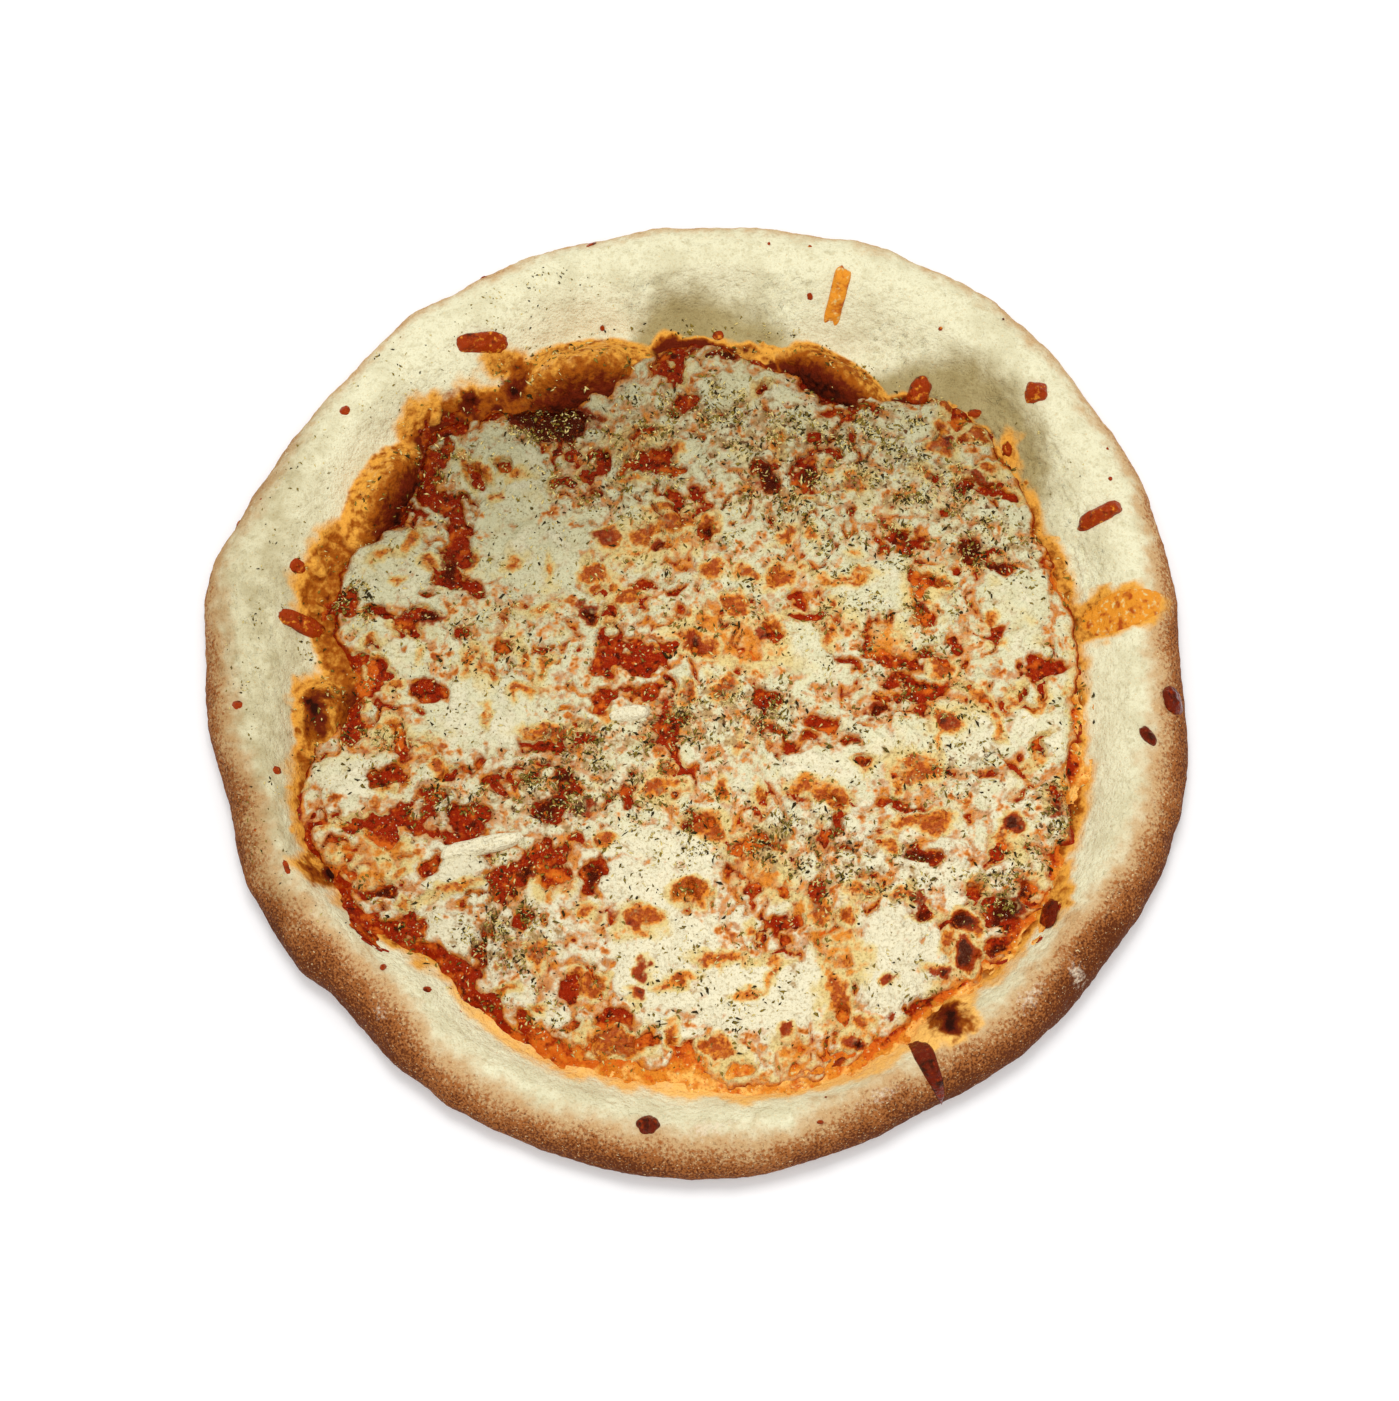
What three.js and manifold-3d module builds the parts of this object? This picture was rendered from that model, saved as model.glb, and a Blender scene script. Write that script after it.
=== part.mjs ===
// A baked margherita pizza, about 30 cm across, in millimetres with +Z up. The origin is the middle of the flat
// underside. The dough is one solid with a raised, uneven rim and four blown bubbles on its inner slope. A thin
// bed of tomato sauce lies in it, the melted cheese lies on the sauce with windows down to it, and single pieces of
// toasted cheese lie on the rim. Angles run anticlockwise from +X, and -Y is the side nearest the eater.
import * as THREE from "three";
import { mergeVertices } from "three/addons/utils/BufferGeometryUtils.js";
import Module from "manifold-3d";

// Driving dimensions.
const PIZZA_RADIUS = 151; // middle to outer edge, before the lobes
const RIM_HEIGHT = 20;
const BASE_THICKNESS = 5; // dough under the topping
const FOOT_INSET = 8; // the underside is flat up to this far from the outer edge
const WIDEST_HEIGHT = 8.5; // where the side stands out furthest
const CREST_INSET = 12.5; // outer edge to the top of the rim
const TOPPING_INSET = 26; // outer edge to the edge of the sauce, before the lobes
const COVERED_SLOPE = 3; // the topping reaches this far up the slope of the rim
const SAUCE_THICKNESS = 1.2;
const CHEESE_THICKNESS = 2.3;
const CHEESE_WAVE = 0.35; // the cheese is this much thicker and thinner in places
const CHEESE_INSET = 3; // the sauce shows this far outside the cheese
const GAP = 0.4; // between the dough, the sauce and the cheese
const PIECE_GAP = 0.5; // under a single piece

// Mesh fineness.
const SECTIONS = 72;
const SIDE_STEPS = 3;
const SHOULDER_STEPS = 4;
const SLOPE_STEPS = 7;
const FLOOR_STEPS = 5;
const PIECE_SECTIONS = 12;
const PIECE_RINGS = 2;
const WINDOW_SIDES = 10;

// Each lobe is [angle in degrees, half width in degrees, millimetres added].
const OUTLINE_LOBES = [
  [55, 18, 5.5],
  [168, 8, 4.5],
  [1, 8, -2.5],
  [27, 6, 1.5],
  [196, 6, -3],
  [225, 12, -3.5],
  [268, 12, 1.5],
  [298, 13, -2],
  [339, 7, 1.5],
  [142, 8, -1.2],
];
const TOPPING_LOBES = [
  [0, 26, 6],
  [24, 9, 6],
  [51, 11, 9],
  [54, 4, 6],
  [83, 16, 15],
  [100, 10, 5],
  [125, 9, 13],
  [168, 14, 14],
  [203, 14, -7],
  [230, 6, 4],
  [263, 8, 2],
  [290, 12, -5.5],
];
const HEIGHT_LOBES = [
  [20, 10, 1],
  [48, 9, -1.5],
  [75, 12, 1.5],
  [125, 14, -1],
  [160, 12, 1.5],
  [215, 14, 1],
  [255, 12, -1],
  [285, 9, 1],
  [318, 12, 2],
];

// Bubbles blown in the dough: centre x and y, half length, half width, turn in degrees, height.
const BUBBLES = [
  [-40, 101, 27, 12.5, 10, 11],
  [-100, 62, 21, 9.5, 62, 8],
  [-115, -11, 14, 10, 100, 7],
  [46, 101, 20, 8.5, -37, 6],
];
// Lower swells and dents of the rim, given the same way.
const RIM_SWELLS = [
  [4, 124, 26, 11, 0, -5],
  [82, 100, 19, 9, -38, -4],
  [73, -107, 10, 8, 30, 3.5],
];

// Windows in the cheese down to the sauce: centre x and y, half length, half width, turn in degrees.
const SAUCE_WINDOWS = [
  [-82, 62, 17, 6, 95],
  [-76, 38, 10, 5, 100],
  [23, 68, 8, 5, 70],
  [-26, 8, 10, 6, -35],
  [-14, -9, 9, 4, -15],
  [71, 27, 10, 6, 80],
  [62, 7, 11, 5, -10],
  [70, -5, 8, 5, 60],
  [103, 6, 7, 4.5, -5],
  [-94, -33, 7, 4.5, 10],
  [-93, -51, 10, 6, 60],
  [-72, -45, 8, 5, 35],
  [-57, -60, 13, 7, 15],
  [-32, -61, 4.5, 8, 10],
  [-64, -80, 9, 7, 60],
  [-39, -38, 8, 6, 50],
  [15, -51, 12, 4, -5],
  [90, -73, 9, 14, 40],
  [-22, -110, 12, 8, -10],
  [41, -92, 5, 14, 5],
];

// Toasted pieces on the rim: name, then centre x and y, half length, half width, turn in degrees, thickness.
const RIM_PIECES = [
  ["cheese_shred_north_west", -68, 108, 8, 3, -2, 2.4],
  ["cheese_shred_west", -123, 18.5, 6.5, 3.3, -12, 2.4],
  ["cheese_shred_north", 44.5, 126, 8.8, 3.1, 70, 1.8],
  ["cheese_chunk_north_east", 105, 91, 3.5, 3.2, 0, 2.2],
  ["cheese_shred_east", 124, 48.5, 7, 3, 18, 2.4],
  ["cheese_crumb_east", 135.5, -22, 3.8, 1.7, -55, 1.8],
  ["toasted_bit_east", 143, -10, 4.5, 3.2, -75, 2.6],
  ["toasted_cheese_patch", 131, 20, 13, 6.8, 6, 1.2],
  ["cheese_knob_north_east", 70, 97, 4.6, 3.4, 60, 2.6],
  ["toasted_finger_south_east", 105.5, -74.5, 5.4, 2.4, 78, 2.2],
  ["sauce_drip_south_east", 68, -122, 9.5, 3, -66, 1.6],
  ["toasted_drop_south", -15, -138, 3.4, 3.1, 0, 2.2],
];
// Shreds of cheese that kept their form on the topping, given the same way.
const TOPPING_PIECES = [
  ["pale_shred_south_west", -66, -52, 13, 2.6, 14, 2.4],
  ["pale_shred_middle", -22, -10, 6, 2.4, -12, 2.2],
];

const DOUGH = new THREE.MeshStandardMaterial({ color: 0xe6dcb8, roughness: 0.8, metalness: 0 });
const SAUCE = new THREE.MeshStandardMaterial({ color: 0xa82d0c, roughness: 0.35, metalness: 0 });
const CHEESE = new THREE.MeshStandardMaterial({ color: 0xe9e3c4, roughness: 0.4, metalness: 0 });
const TOASTED = new THREE.MeshStandardMaterial({ color: 0xa84a1c, roughness: 0.45, metalness: 0 });

const wasm = await Module();
wasm.setup();

const radians = THREE.MathUtils.degToRad;

// The angle from one direction to another, from minus half a turn to half a turn.
const angleBetween = (from, to) => Math.atan2(Math.sin(to - from), Math.cos(to - from));

// The sum of rounded lobes at an angle in radians.
function lobes(list, angle) {
  let sum = 0;
  for (const [middle, halfWidth, amount] of list) {
    sum += amount * Math.exp(-((angleBetween(radians(middle), angle) / radians(halfWidth)) ** 2));
  }
  return sum;
}

const outerRadius = (angle) => PIZZA_RADIUS + lobes(OUTLINE_LOBES, angle);
const openInset = (angle) => TOPPING_INSET + lobes(TOPPING_LOBES, angle);
const rimWidth = (angle) => openInset(angle) + COVERED_SLOPE;
const rimHeight = (angle) => RIM_HEIGHT + lobes(HEIGHT_LOBES, angle);

// Height that bubbles and dents add, each a smooth dome of the form (1 - q^2)^1.5 over an ellipse where q is 1.
function swells(x, y) {
  let sum = 0;
  for (const [centreX, centreY, halfLength, halfWidth, turn, height] of [...BUBBLES, ...RIM_SWELLS]) {
    const c = Math.cos(radians(turn));
    const s = Math.sin(radians(turn));
    const along = (x - centreX) * c + (y - centreY) * s;
    const across = (y - centreY) * c - (x - centreX) * s;
    const q = Math.hypot(along / halfLength, across / halfWidth);
    if (q < 1) sum += height * (1 - q * q) ** 1.5;
  }
  return sum;
}

// Height of the dough's upper face: a quarter ellipse up to the crest, a cosine down to the floor, and the swells.
function doughHeight(x, y) {
  const angle = Math.atan2(y, x);
  const inset = outerRadius(angle) - Math.hypot(x, y);
  const top = rimHeight(angle);
  const width = rimWidth(angle);
  let height = BASE_THICKNESS;
  if (inset < CREST_INSET) {
    const q = Math.min(1, (CREST_INSET - inset) / CREST_INSET);
    height = WIDEST_HEIGHT + (top - WIDEST_HEIGHT) * Math.sqrt(1 - q * q);
  } else if (inset < width) {
    const share = (inset - CREST_INSET) / (width - CREST_INSET);
    height += ((top - BASE_THICKNESS) * (1 + Math.cos(Math.PI * share))) / 2;
  }
  return height + swells(x, y) * THREE.MathUtils.smoothstep(inset, 2, 9);
}

// A closed mesh from rings of [x, y, z] points, one inside the next, and a point that closes each end.
function ringSolid(first, rings, last) {
  const count = rings[0].length;
  const points = [first, ...rings.flat(), last];
  const faces = [];
  const at = (ring, k) => 1 + ring * count + (k % count);
  for (let k = 0; k < count; k++) {
    faces.push(0, at(0, k + 1), at(0, k));
    faces.push(points.length - 1, at(rings.length - 1, k), at(rings.length - 1, k + 1));
    for (let ring = 0; ring + 1 < rings.length; ring++) {
      faces.push(at(ring, k), at(ring, k + 1), at(ring + 1, k + 1));
      faces.push(at(ring, k), at(ring + 1, k + 1), at(ring + 1, k));
    }
  }
  return manifoldOf(new Float32Array(points.flat()), new Uint32Array(faces));
}

function manifoldOf(vertProperties, triVerts) {
  return new wasm.Manifold(new wasm.Mesh({ numProp: 3, vertProperties, triVerts }));
}

// One ring of points round the pizza, from functions of the angle and of the place.
function ring(radiusAt, heightAt) {
  return Array.from({ length: SECTIONS }, (_, k) => {
    const angle = (2 * Math.PI * k) / SECTIONS;
    const x = radiusAt(angle) * Math.cos(angle);
    const y = radiusAt(angle) * Math.sin(angle);
    return [x, y, heightAt(x, y)];
  });
}

// The dough, its upper face raised by a function of the place. The rings run from the middle of the underside
// out round the side, over the crest, down the slope and in over the floor.
function doughSolid(raise) {
  const height = (x, y) => doughHeight(x, y) + raise(x, y);
  const rings = [];
  for (let i = 0; i < SIDE_STEPS; i++) {
    const turn = (Math.PI / 2) * (1 - i / SIDE_STEPS);
    const inset = FOOT_INSET * (1 - Math.cos(turn));
    rings.push(ring((a) => outerRadius(a) - inset, () => WIDEST_HEIGHT * (1 - Math.sin(turn))));
  }
  for (let i = 0; i <= SHOULDER_STEPS; i++) {
    const inset = CREST_INSET * (1 - Math.cos((Math.PI / 2) * (i / SHOULDER_STEPS)));
    rings.push(ring((a) => outerRadius(a) - inset, height));
  }
  for (let i = 1; i <= SLOPE_STEPS; i++) {
    const share = i / SLOPE_STEPS;
    const inset = (a) => CREST_INSET + share * (rimWidth(a) - CREST_INSET);
    rings.push(ring((a) => outerRadius(a) - inset(a), height));
  }
  for (let i = 1; i <= FLOOR_STEPS; i++) {
    const share = 1 - (i / (FLOOR_STEPS + 1)) ** 1.5;
    rings.push(ring((a) => share * (outerRadius(a) - rimWidth(a)), height));
  }
  return ringSolid([0, 0, 0], rings, [0, 0, height(0, 0)]);
}

// How far the inner face of a bubble pushes the topping in, at an angle.
function bubblePush(angle) {
  let push = 0;
  for (const [x, y, halfLength, halfWidth] of BUBBLES) {
    const reach = Math.hypot(x, y);
    const q = (angleBetween(Math.atan2(y, x), angle) * reach) / (1.15 * halfLength);
    const depth = outerRadius(angle) - openInset(angle) - reach + halfWidth;
    if (Math.abs(q) < 1) push = Math.max(push, depth * (1 - q * q));
  }
  return push;
}

const toppingInset = (angle) => openInset(angle) + bubblePush(angle);

// An upright prism over a closed outline of [x, y] points, from the middle of the base to above everything.
function prism(outline) {
  const shape = new THREE.Shape(outline.map(([x, y]) => new THREE.Vector2(x, y)));
  const geometry = new THREE.ExtrudeGeometry(shape, { depth: 2 * RIM_HEIGHT, bevelEnabled: false });
  geometry.translate(0, 0, BASE_THICKNESS / 2);
  geometry.deleteAttribute("normal");
  geometry.deleteAttribute("uv");
  const merged = mergeVertices(geometry, 1e-4);
  return manifoldOf(merged.attributes.position.array, new Uint32Array(merged.index.array));
}

// The outline of the topping, a little further in than the edge of the sauce.
function toppingOutline(inset) {
  return ring((a) => outerRadius(a) - toppingInset(a) - inset, () => 0);
}

function ellipse([centreX, centreY, halfLength, halfWidth, turn], sides) {
  const c = Math.cos(radians(turn));
  const s = Math.sin(radians(turn));
  return Array.from({ length: sides }, (_, k) => {
    const along = halfLength * Math.cos((2 * Math.PI * k) / sides);
    const across = halfWidth * Math.sin((2 * Math.PI * k) / sides);
    return [centreX + along * c - across * s, centreY + along * s + across * c];
  });
}

// The cheese is uneven: crossed waves about 75 mm and 50 mm long.
function cheeseThickness(x, y) {
  const waves = Math.sin(x / 12 + 1) * Math.cos(y / 13) + 0.6 * Math.sin((x - y) / 8);
  return CHEESE_THICKNESS + CHEESE_WAVE * waves;
}

// A flat drop of cheese over an ellipse, its upper face domed and `lift` above the dough. It reaches down into
// what it lies on, which is then cut away from it.
function dropSolid([centreX, centreY, halfLength, halfWidth, turn, thickness], lift) {
  const rings = [];
  const add = (share, above) => {
    const shape = [centreX, centreY, share * halfLength, share * halfWidth, turn];
    rings.push(ellipse(shape, PIECE_SECTIONS).map(([x, y]) => [x, y, doughHeight(x, y) + above]));
  };
  add(1, -GAP);
  for (let i = PIECE_RINGS; i >= 1; i--) {
    const share = i / PIECE_RINGS;
    add(share, lift + thickness * (0.35 + 0.65 * Math.sqrt(1 - share * share)));
  }
  const middle = doughHeight(centreX, centreY);
  return ringSolid([centreX, centreY, middle - GAP], rings, [centreX, centreY, middle + lift + thickness]);
}

const lifted = (solid, height) => solid.translate([0, 0, height]);

const sauceTop = GAP + SAUCE_THICKNESS;
const cheeseFoot = sauceTop + GAP;
const crust = doughSolid(() => 0);
const upToCheese = doughSolid((x, y) => cheeseFoot + cheeseThickness(x, y));
const sauce = doughSolid(() => sauceTop)
  .subtract(lifted(crust, GAP))
  .intersect(prism(toppingOutline(0)));
let cheese = upToCheese
  .subtract(lifted(crust, cheeseFoot))
  .intersect(prism(toppingOutline(CHEESE_INSET)));
for (const window of SAUCE_WINDOWS) {
  cheese = cheese.subtract(prism(ellipse(window, WINDOW_SIDES)));
}

const pizza = new THREE.Group();

function addPiece(name, solid, material) {
  const { vertProperties, triVerts } = solid.getMesh();
  const geometry = new THREE.BufferGeometry();
  geometry.setAttribute("position", new THREE.BufferAttribute(vertProperties, 3));
  geometry.setIndex(new THREE.BufferAttribute(triVerts, 1));
  geometry.computeVertexNormals();
  const mesh = new THREE.Mesh(geometry, material.clone());
  mesh.name = name;
  pizza.add(mesh);
}

addPiece("crust", crust, DOUGH);
addPiece("tomato_sauce", sauce, SAUCE);
addPiece("mozzarella", cheese, CHEESE);
for (const [name, ...shape] of RIM_PIECES) {
  addPiece(name, dropSolid(shape, PIECE_GAP).subtract(lifted(crust, PIECE_GAP)), TOASTED);
}
for (const [name, ...shape] of TOPPING_PIECES) {
  const lift = cheeseFoot + CHEESE_THICKNESS + PIECE_GAP;
  addPiece(name, dropSolid(shape, lift).subtract(lifted(upToCheese, PIECE_GAP)), CHEESE);
}

export default pizza;
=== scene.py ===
from itertools import product

import bpy
import numpy as np
from bpy.props import FloatProperty, FloatVectorProperty, IntProperty, PointerProperty
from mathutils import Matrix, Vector


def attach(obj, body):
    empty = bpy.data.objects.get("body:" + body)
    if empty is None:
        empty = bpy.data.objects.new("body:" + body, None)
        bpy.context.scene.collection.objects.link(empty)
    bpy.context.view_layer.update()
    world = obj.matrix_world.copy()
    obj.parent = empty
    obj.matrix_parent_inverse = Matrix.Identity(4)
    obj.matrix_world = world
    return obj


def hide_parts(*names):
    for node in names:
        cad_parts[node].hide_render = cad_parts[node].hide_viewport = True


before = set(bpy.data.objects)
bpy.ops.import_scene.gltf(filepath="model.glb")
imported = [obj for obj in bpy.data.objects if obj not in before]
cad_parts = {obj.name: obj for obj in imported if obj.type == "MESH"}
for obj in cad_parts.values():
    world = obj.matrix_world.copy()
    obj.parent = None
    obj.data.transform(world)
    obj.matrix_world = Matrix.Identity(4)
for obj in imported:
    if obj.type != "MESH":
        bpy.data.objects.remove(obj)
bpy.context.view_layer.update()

bl_info = {
    "name": "Baked Margherita Pizza",
    "version": (1, 0, 0),
    "blender": (4, 5, 0),
    "location": "View3D > Sidebar > Pizza",
    "description": "A whole baked pizza: dough, tomato sauce, melted cheese, toasted bits and dried herbs",
    "category": "Add Mesh",
}

# Shapes are worked out in millimetres and turned to metres when the mesh is made. Angles run anticlockwise
# from +X, in degrees in the tables and in radians in the functions.
MM = 0.001

# The same dough as the CAD part has. Insets are measured in from the outer edge.
PIZZA_RADIUS = 151.0
BASE_THICKNESS = 5.0
RIM_HEIGHT = 20.0
FOOT_INSET = 8.0
WIDEST_HEIGHT = 8.5
CREST_INSET = 12.5
TOPPING_INSET = 26.0
COVERED_SLOPE = 3.0
# Heights above the dough, and where the flat undersides of the sauce and the cheese lie inside it.
SAUCE_TOP = 2.6
CHEESE_FOOT = 2.2
SAUCE_BOTTOM = 3.0
CHEESE_BOTTOM = 3.4

# Widths over which the sauce rounds off at its edge and the cheese at a window.
SAUCE_ROUNDING = 7.0
CHEESE_ROUNDING = 2.6
# How evenly brown the underside is, in the millimetres past the line of browning that colour the dough.
UNDERSIDE_BAKED = 4.5

# How fine the meshes are: sectors of the crust, and points along each side of the square grids.
CRUST_SECTORS = 880
SAUCE_GRID = 250
CHEESE_GRID = 300

# Melted shreds that still show, and how far from the middle they and the herbs reach.
SHRED_COUNT = 420
SHRED_REACH = 120
HERB_REACH = 122
RIM_HERB_RING = (105, 147)
# How rare long herb flecks are, the density of herbs outside all beds, and how many of the flecks on the
# topping there are for each on the rim.
HERB_RARITY = 1.95
LOOSE_HERBS = 0.1
RIM_HERB_SHARE = 12
SHRED_SEED = 3
HERB_SEED = 7

# The camera looks down at this angle, in degrees, at this place, in metres. The floor is just under the pizza.
CAMERA_ELEVATION = 74
CAMERA_TARGET = (0, -0.0064, 0.010)
FLOOR_REACH = 4.0
FLOOR_HEIGHT = -0.0003

# A number so low that it keeps its layer of colour away.
ABSENT = -9.0

# The mix node's sockets in its colour mode, where several share a name.
MIX_FACTOR, MIX_A, MIX_B, MIX_RESULT = 0, 6, 7, 2

# Lobes round the pizza: angle, half width in degrees, millimetres added.
OUTLINE_LOBES = [
    (55, 18, 5.5), (168, 8, 4.5), (1, 8, -2.5), (27, 6, 1.5), (196, 6, -3), (225, 12, -3.5), (268, 12, 1.5),
    (298, 13, -2), (339, 7, 1.5), (142, 8, -1.2),
]
TOPPING_LOBES = [
    (0, 26, 6), (24, 9, 6), (51, 11, 9), (54, 4, 6), (83, 16, 15), (100, 10, 5), (125, 9, 13), (168, 14, 14),
    (203, 14, -7), (230, 6, 4), (263, 8, 2), (290, 12, -5.5),
]
HEIGHT_LOBES = [
    (20, 10, 1), (48, 9, -1.5), (75, 12, 1.5), (125, 14, -1), (160, 12, 1.5), (215, 14, 1), (255, 12, -1),
    (285, 9, 1), (318, 12, 2),
]
# Distance from the middle to the edge of the topping at each of these angles. Bubbles push it in.
TOPPING_EDGE = [
    (0, 117), (8, 117.5), (20, 117), (27, 117), (33, 120), (43, 123), (50, 120.5), (56, 113), (62, 106), (67, 102.5),
    (72, 104), (80, 109), (88, 112), (96, 112.5), (100, 106), (104, 101), (108, 100), (113, 99.5), (118, 103),
    (123, 108.5), (128, 113), (131, 115), (135, 118), (139, 116.5), (142, 112), (146, 108), (152, 108.5), (158, 116),
    (166, 118), (172, 114), (178, 106), (183, 105.5), (188, 112), (193, 122), (198, 127), (204, 129.5), (211, 128),
    (218, 126), (225, 120.5), (231, 119), (237, 122), (244, 124), (255, 124), (262, 124), (270, 126), (278, 128.5),
    (286, 129.5), (293, 129), (300, 127), (306, 125), (312, 125.5), (320, 126.5), (330, 124.5), (338, 122),
    (346, 119.5), (353, 118),
]
# Faint corners of the hand-pulled outline.
OUTLINE_CORNERS = [
    (127.5, 2.2, 0.9), (157.5, 2.2, 0.8), (71, 2, 0.8), (67, 2, 0.6), (217, 2, 0.8), (233, 2, 0.9), (240, 2, 0.7),
    (190, 3, -0.6), (344, 3, 0.5), (283, 3, -0.4),
]
# How far in from the edge the side is browned, how far out of the topping the oil has stained the rim, and how
# far out of the topping the rim is darkened by painted shade.
BAKE_LOBES = [
    (222, 22, 12.5), (262, 20, 9.5), (295, 16, 9), (322, 17, 13.5), (193, 12, 3), (176, 20, 3.5), (347, 14, 6),
    (6, 18, 6.5),
]
STAIN_LOBES = [
    (108, 12, 7), (128, 12, 8), (150, 14, 8), (170, 14, 9), (188, 9, 8), (262, 26, 1.4), (20, 16, 2.5), (80, 13, 4),
    (62, 9, 4), (342, 12, 2.5), (305, 14, 2.4),
]
RIM_SHADE_LOBES = [(96, 12, 20), (78, 14, 17), (51, 14, 23), (34, 9, 13), (16, 12, 8)]
# How far the cheese stays back from the edge of the topping.
CHEESE_LOBES = [
    (262, 22, -2.5), (300, 14, -3), (350, 22, -0.5), (231, 12, -4.5), (210, 10, -2), (128, 12, -2.5), (196, 9, 2.5),
]

# Bubbles blown in the dough: centre x and y, half length, half width, turn, height, how deep the colour is, and how
# steep the inner side is.
BUBBLES = [
    (-37, 103, 25, 12.5, 11, 11, 0.9, 4), (-100, 62, 21, 9.5, 62, 8, 0.9, 3.5), (-116, -12, 14, 10, 95, 7, 0.25, 2.5),
    (44.5, 101, 20, 8, -36, 6, 1.25, 3),
]
# Swells and dips of the rim, in the same way as far as the height.
RIM_SWELLS = [(4, 124, 26, 11, 0, -5), (82, 100, 19, 9, -38, -4), (73, -107, 10, 8, 30, 3.5)]

# The ellipses in the tables from here on are centre x and y, length, width, and turn where it is not 0.
# Small golden blisters of dough and cheese at the edge of the topping.
EDGE_LUMPS = [
    (110, 45, 7, 7), (113, 33, 9, 10), (113, 22, 5, 8), (80, 92, 5, 4), (87, 88, 7, 5), (97, 76, 5, 8),
    (89, 79, 5, 7), (-84, 89, 8, 6, 40), (-73, 94.5, 10, 6, 20), (-121, -47, 6, 6), (-111, -58, 15, 9, 10),
    (-118, 36, 6, 8), (-119, 24, 6, 6), (-93.5, 83, 5, 5), (-124.5, -36, 3.5, 3.5), (102, 66, 4, 6), (66, -100, 7, 6),
    (75, -101, 8, 7), (72, -108, 7, 6), (24, 109.5, 28, 7, -3),
]
# Where the rim is wrinkled.
WRINKLES = [
    (26, 124, 22, 16, 10), (64, 110, 26, 18, -35), (95, 86, 12, 22, -10), (20, 120, 24, 9), (-18, 127, 16, 10, 30),
    (110, 62, 14, 40, 20), (120, 34, 12, 30), (-137, 12, 18, 50, 5),
]
# Where the dough is burnt, stained by oil and floury.
CHARS = [
    (74, -107, 9, 8, 40), (-117.5, -10.5, 7, 12, 5), (-58, 97, 5, 11), (-111, -59, 11, 7, 5), (-72, 92, 8, 5),
    (-65, 89, 6, 5), (32, 103, 5, 4),
]
STAIN_SPOTS = [
    (127, 20, 30, 15, 8), (-62, 105, 14, 8, 20), (72, -105.5, 19, 17, 30), (-88, 88, 16, 8, 40),
    (-116, -9, 18, 26, 10), (-113, -57, 18, 13, 10), (108, -66, 8, 20, -10), (98, 77, 5, 10, 20),
]
FLOUR = [(3, -139, 18, 7, 5), (53, -130, 16, 6, 25), (97, -101, 14, 7, 45), (-95, -104, 5, 7), (112, -93, 7, 9, 45)]

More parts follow.
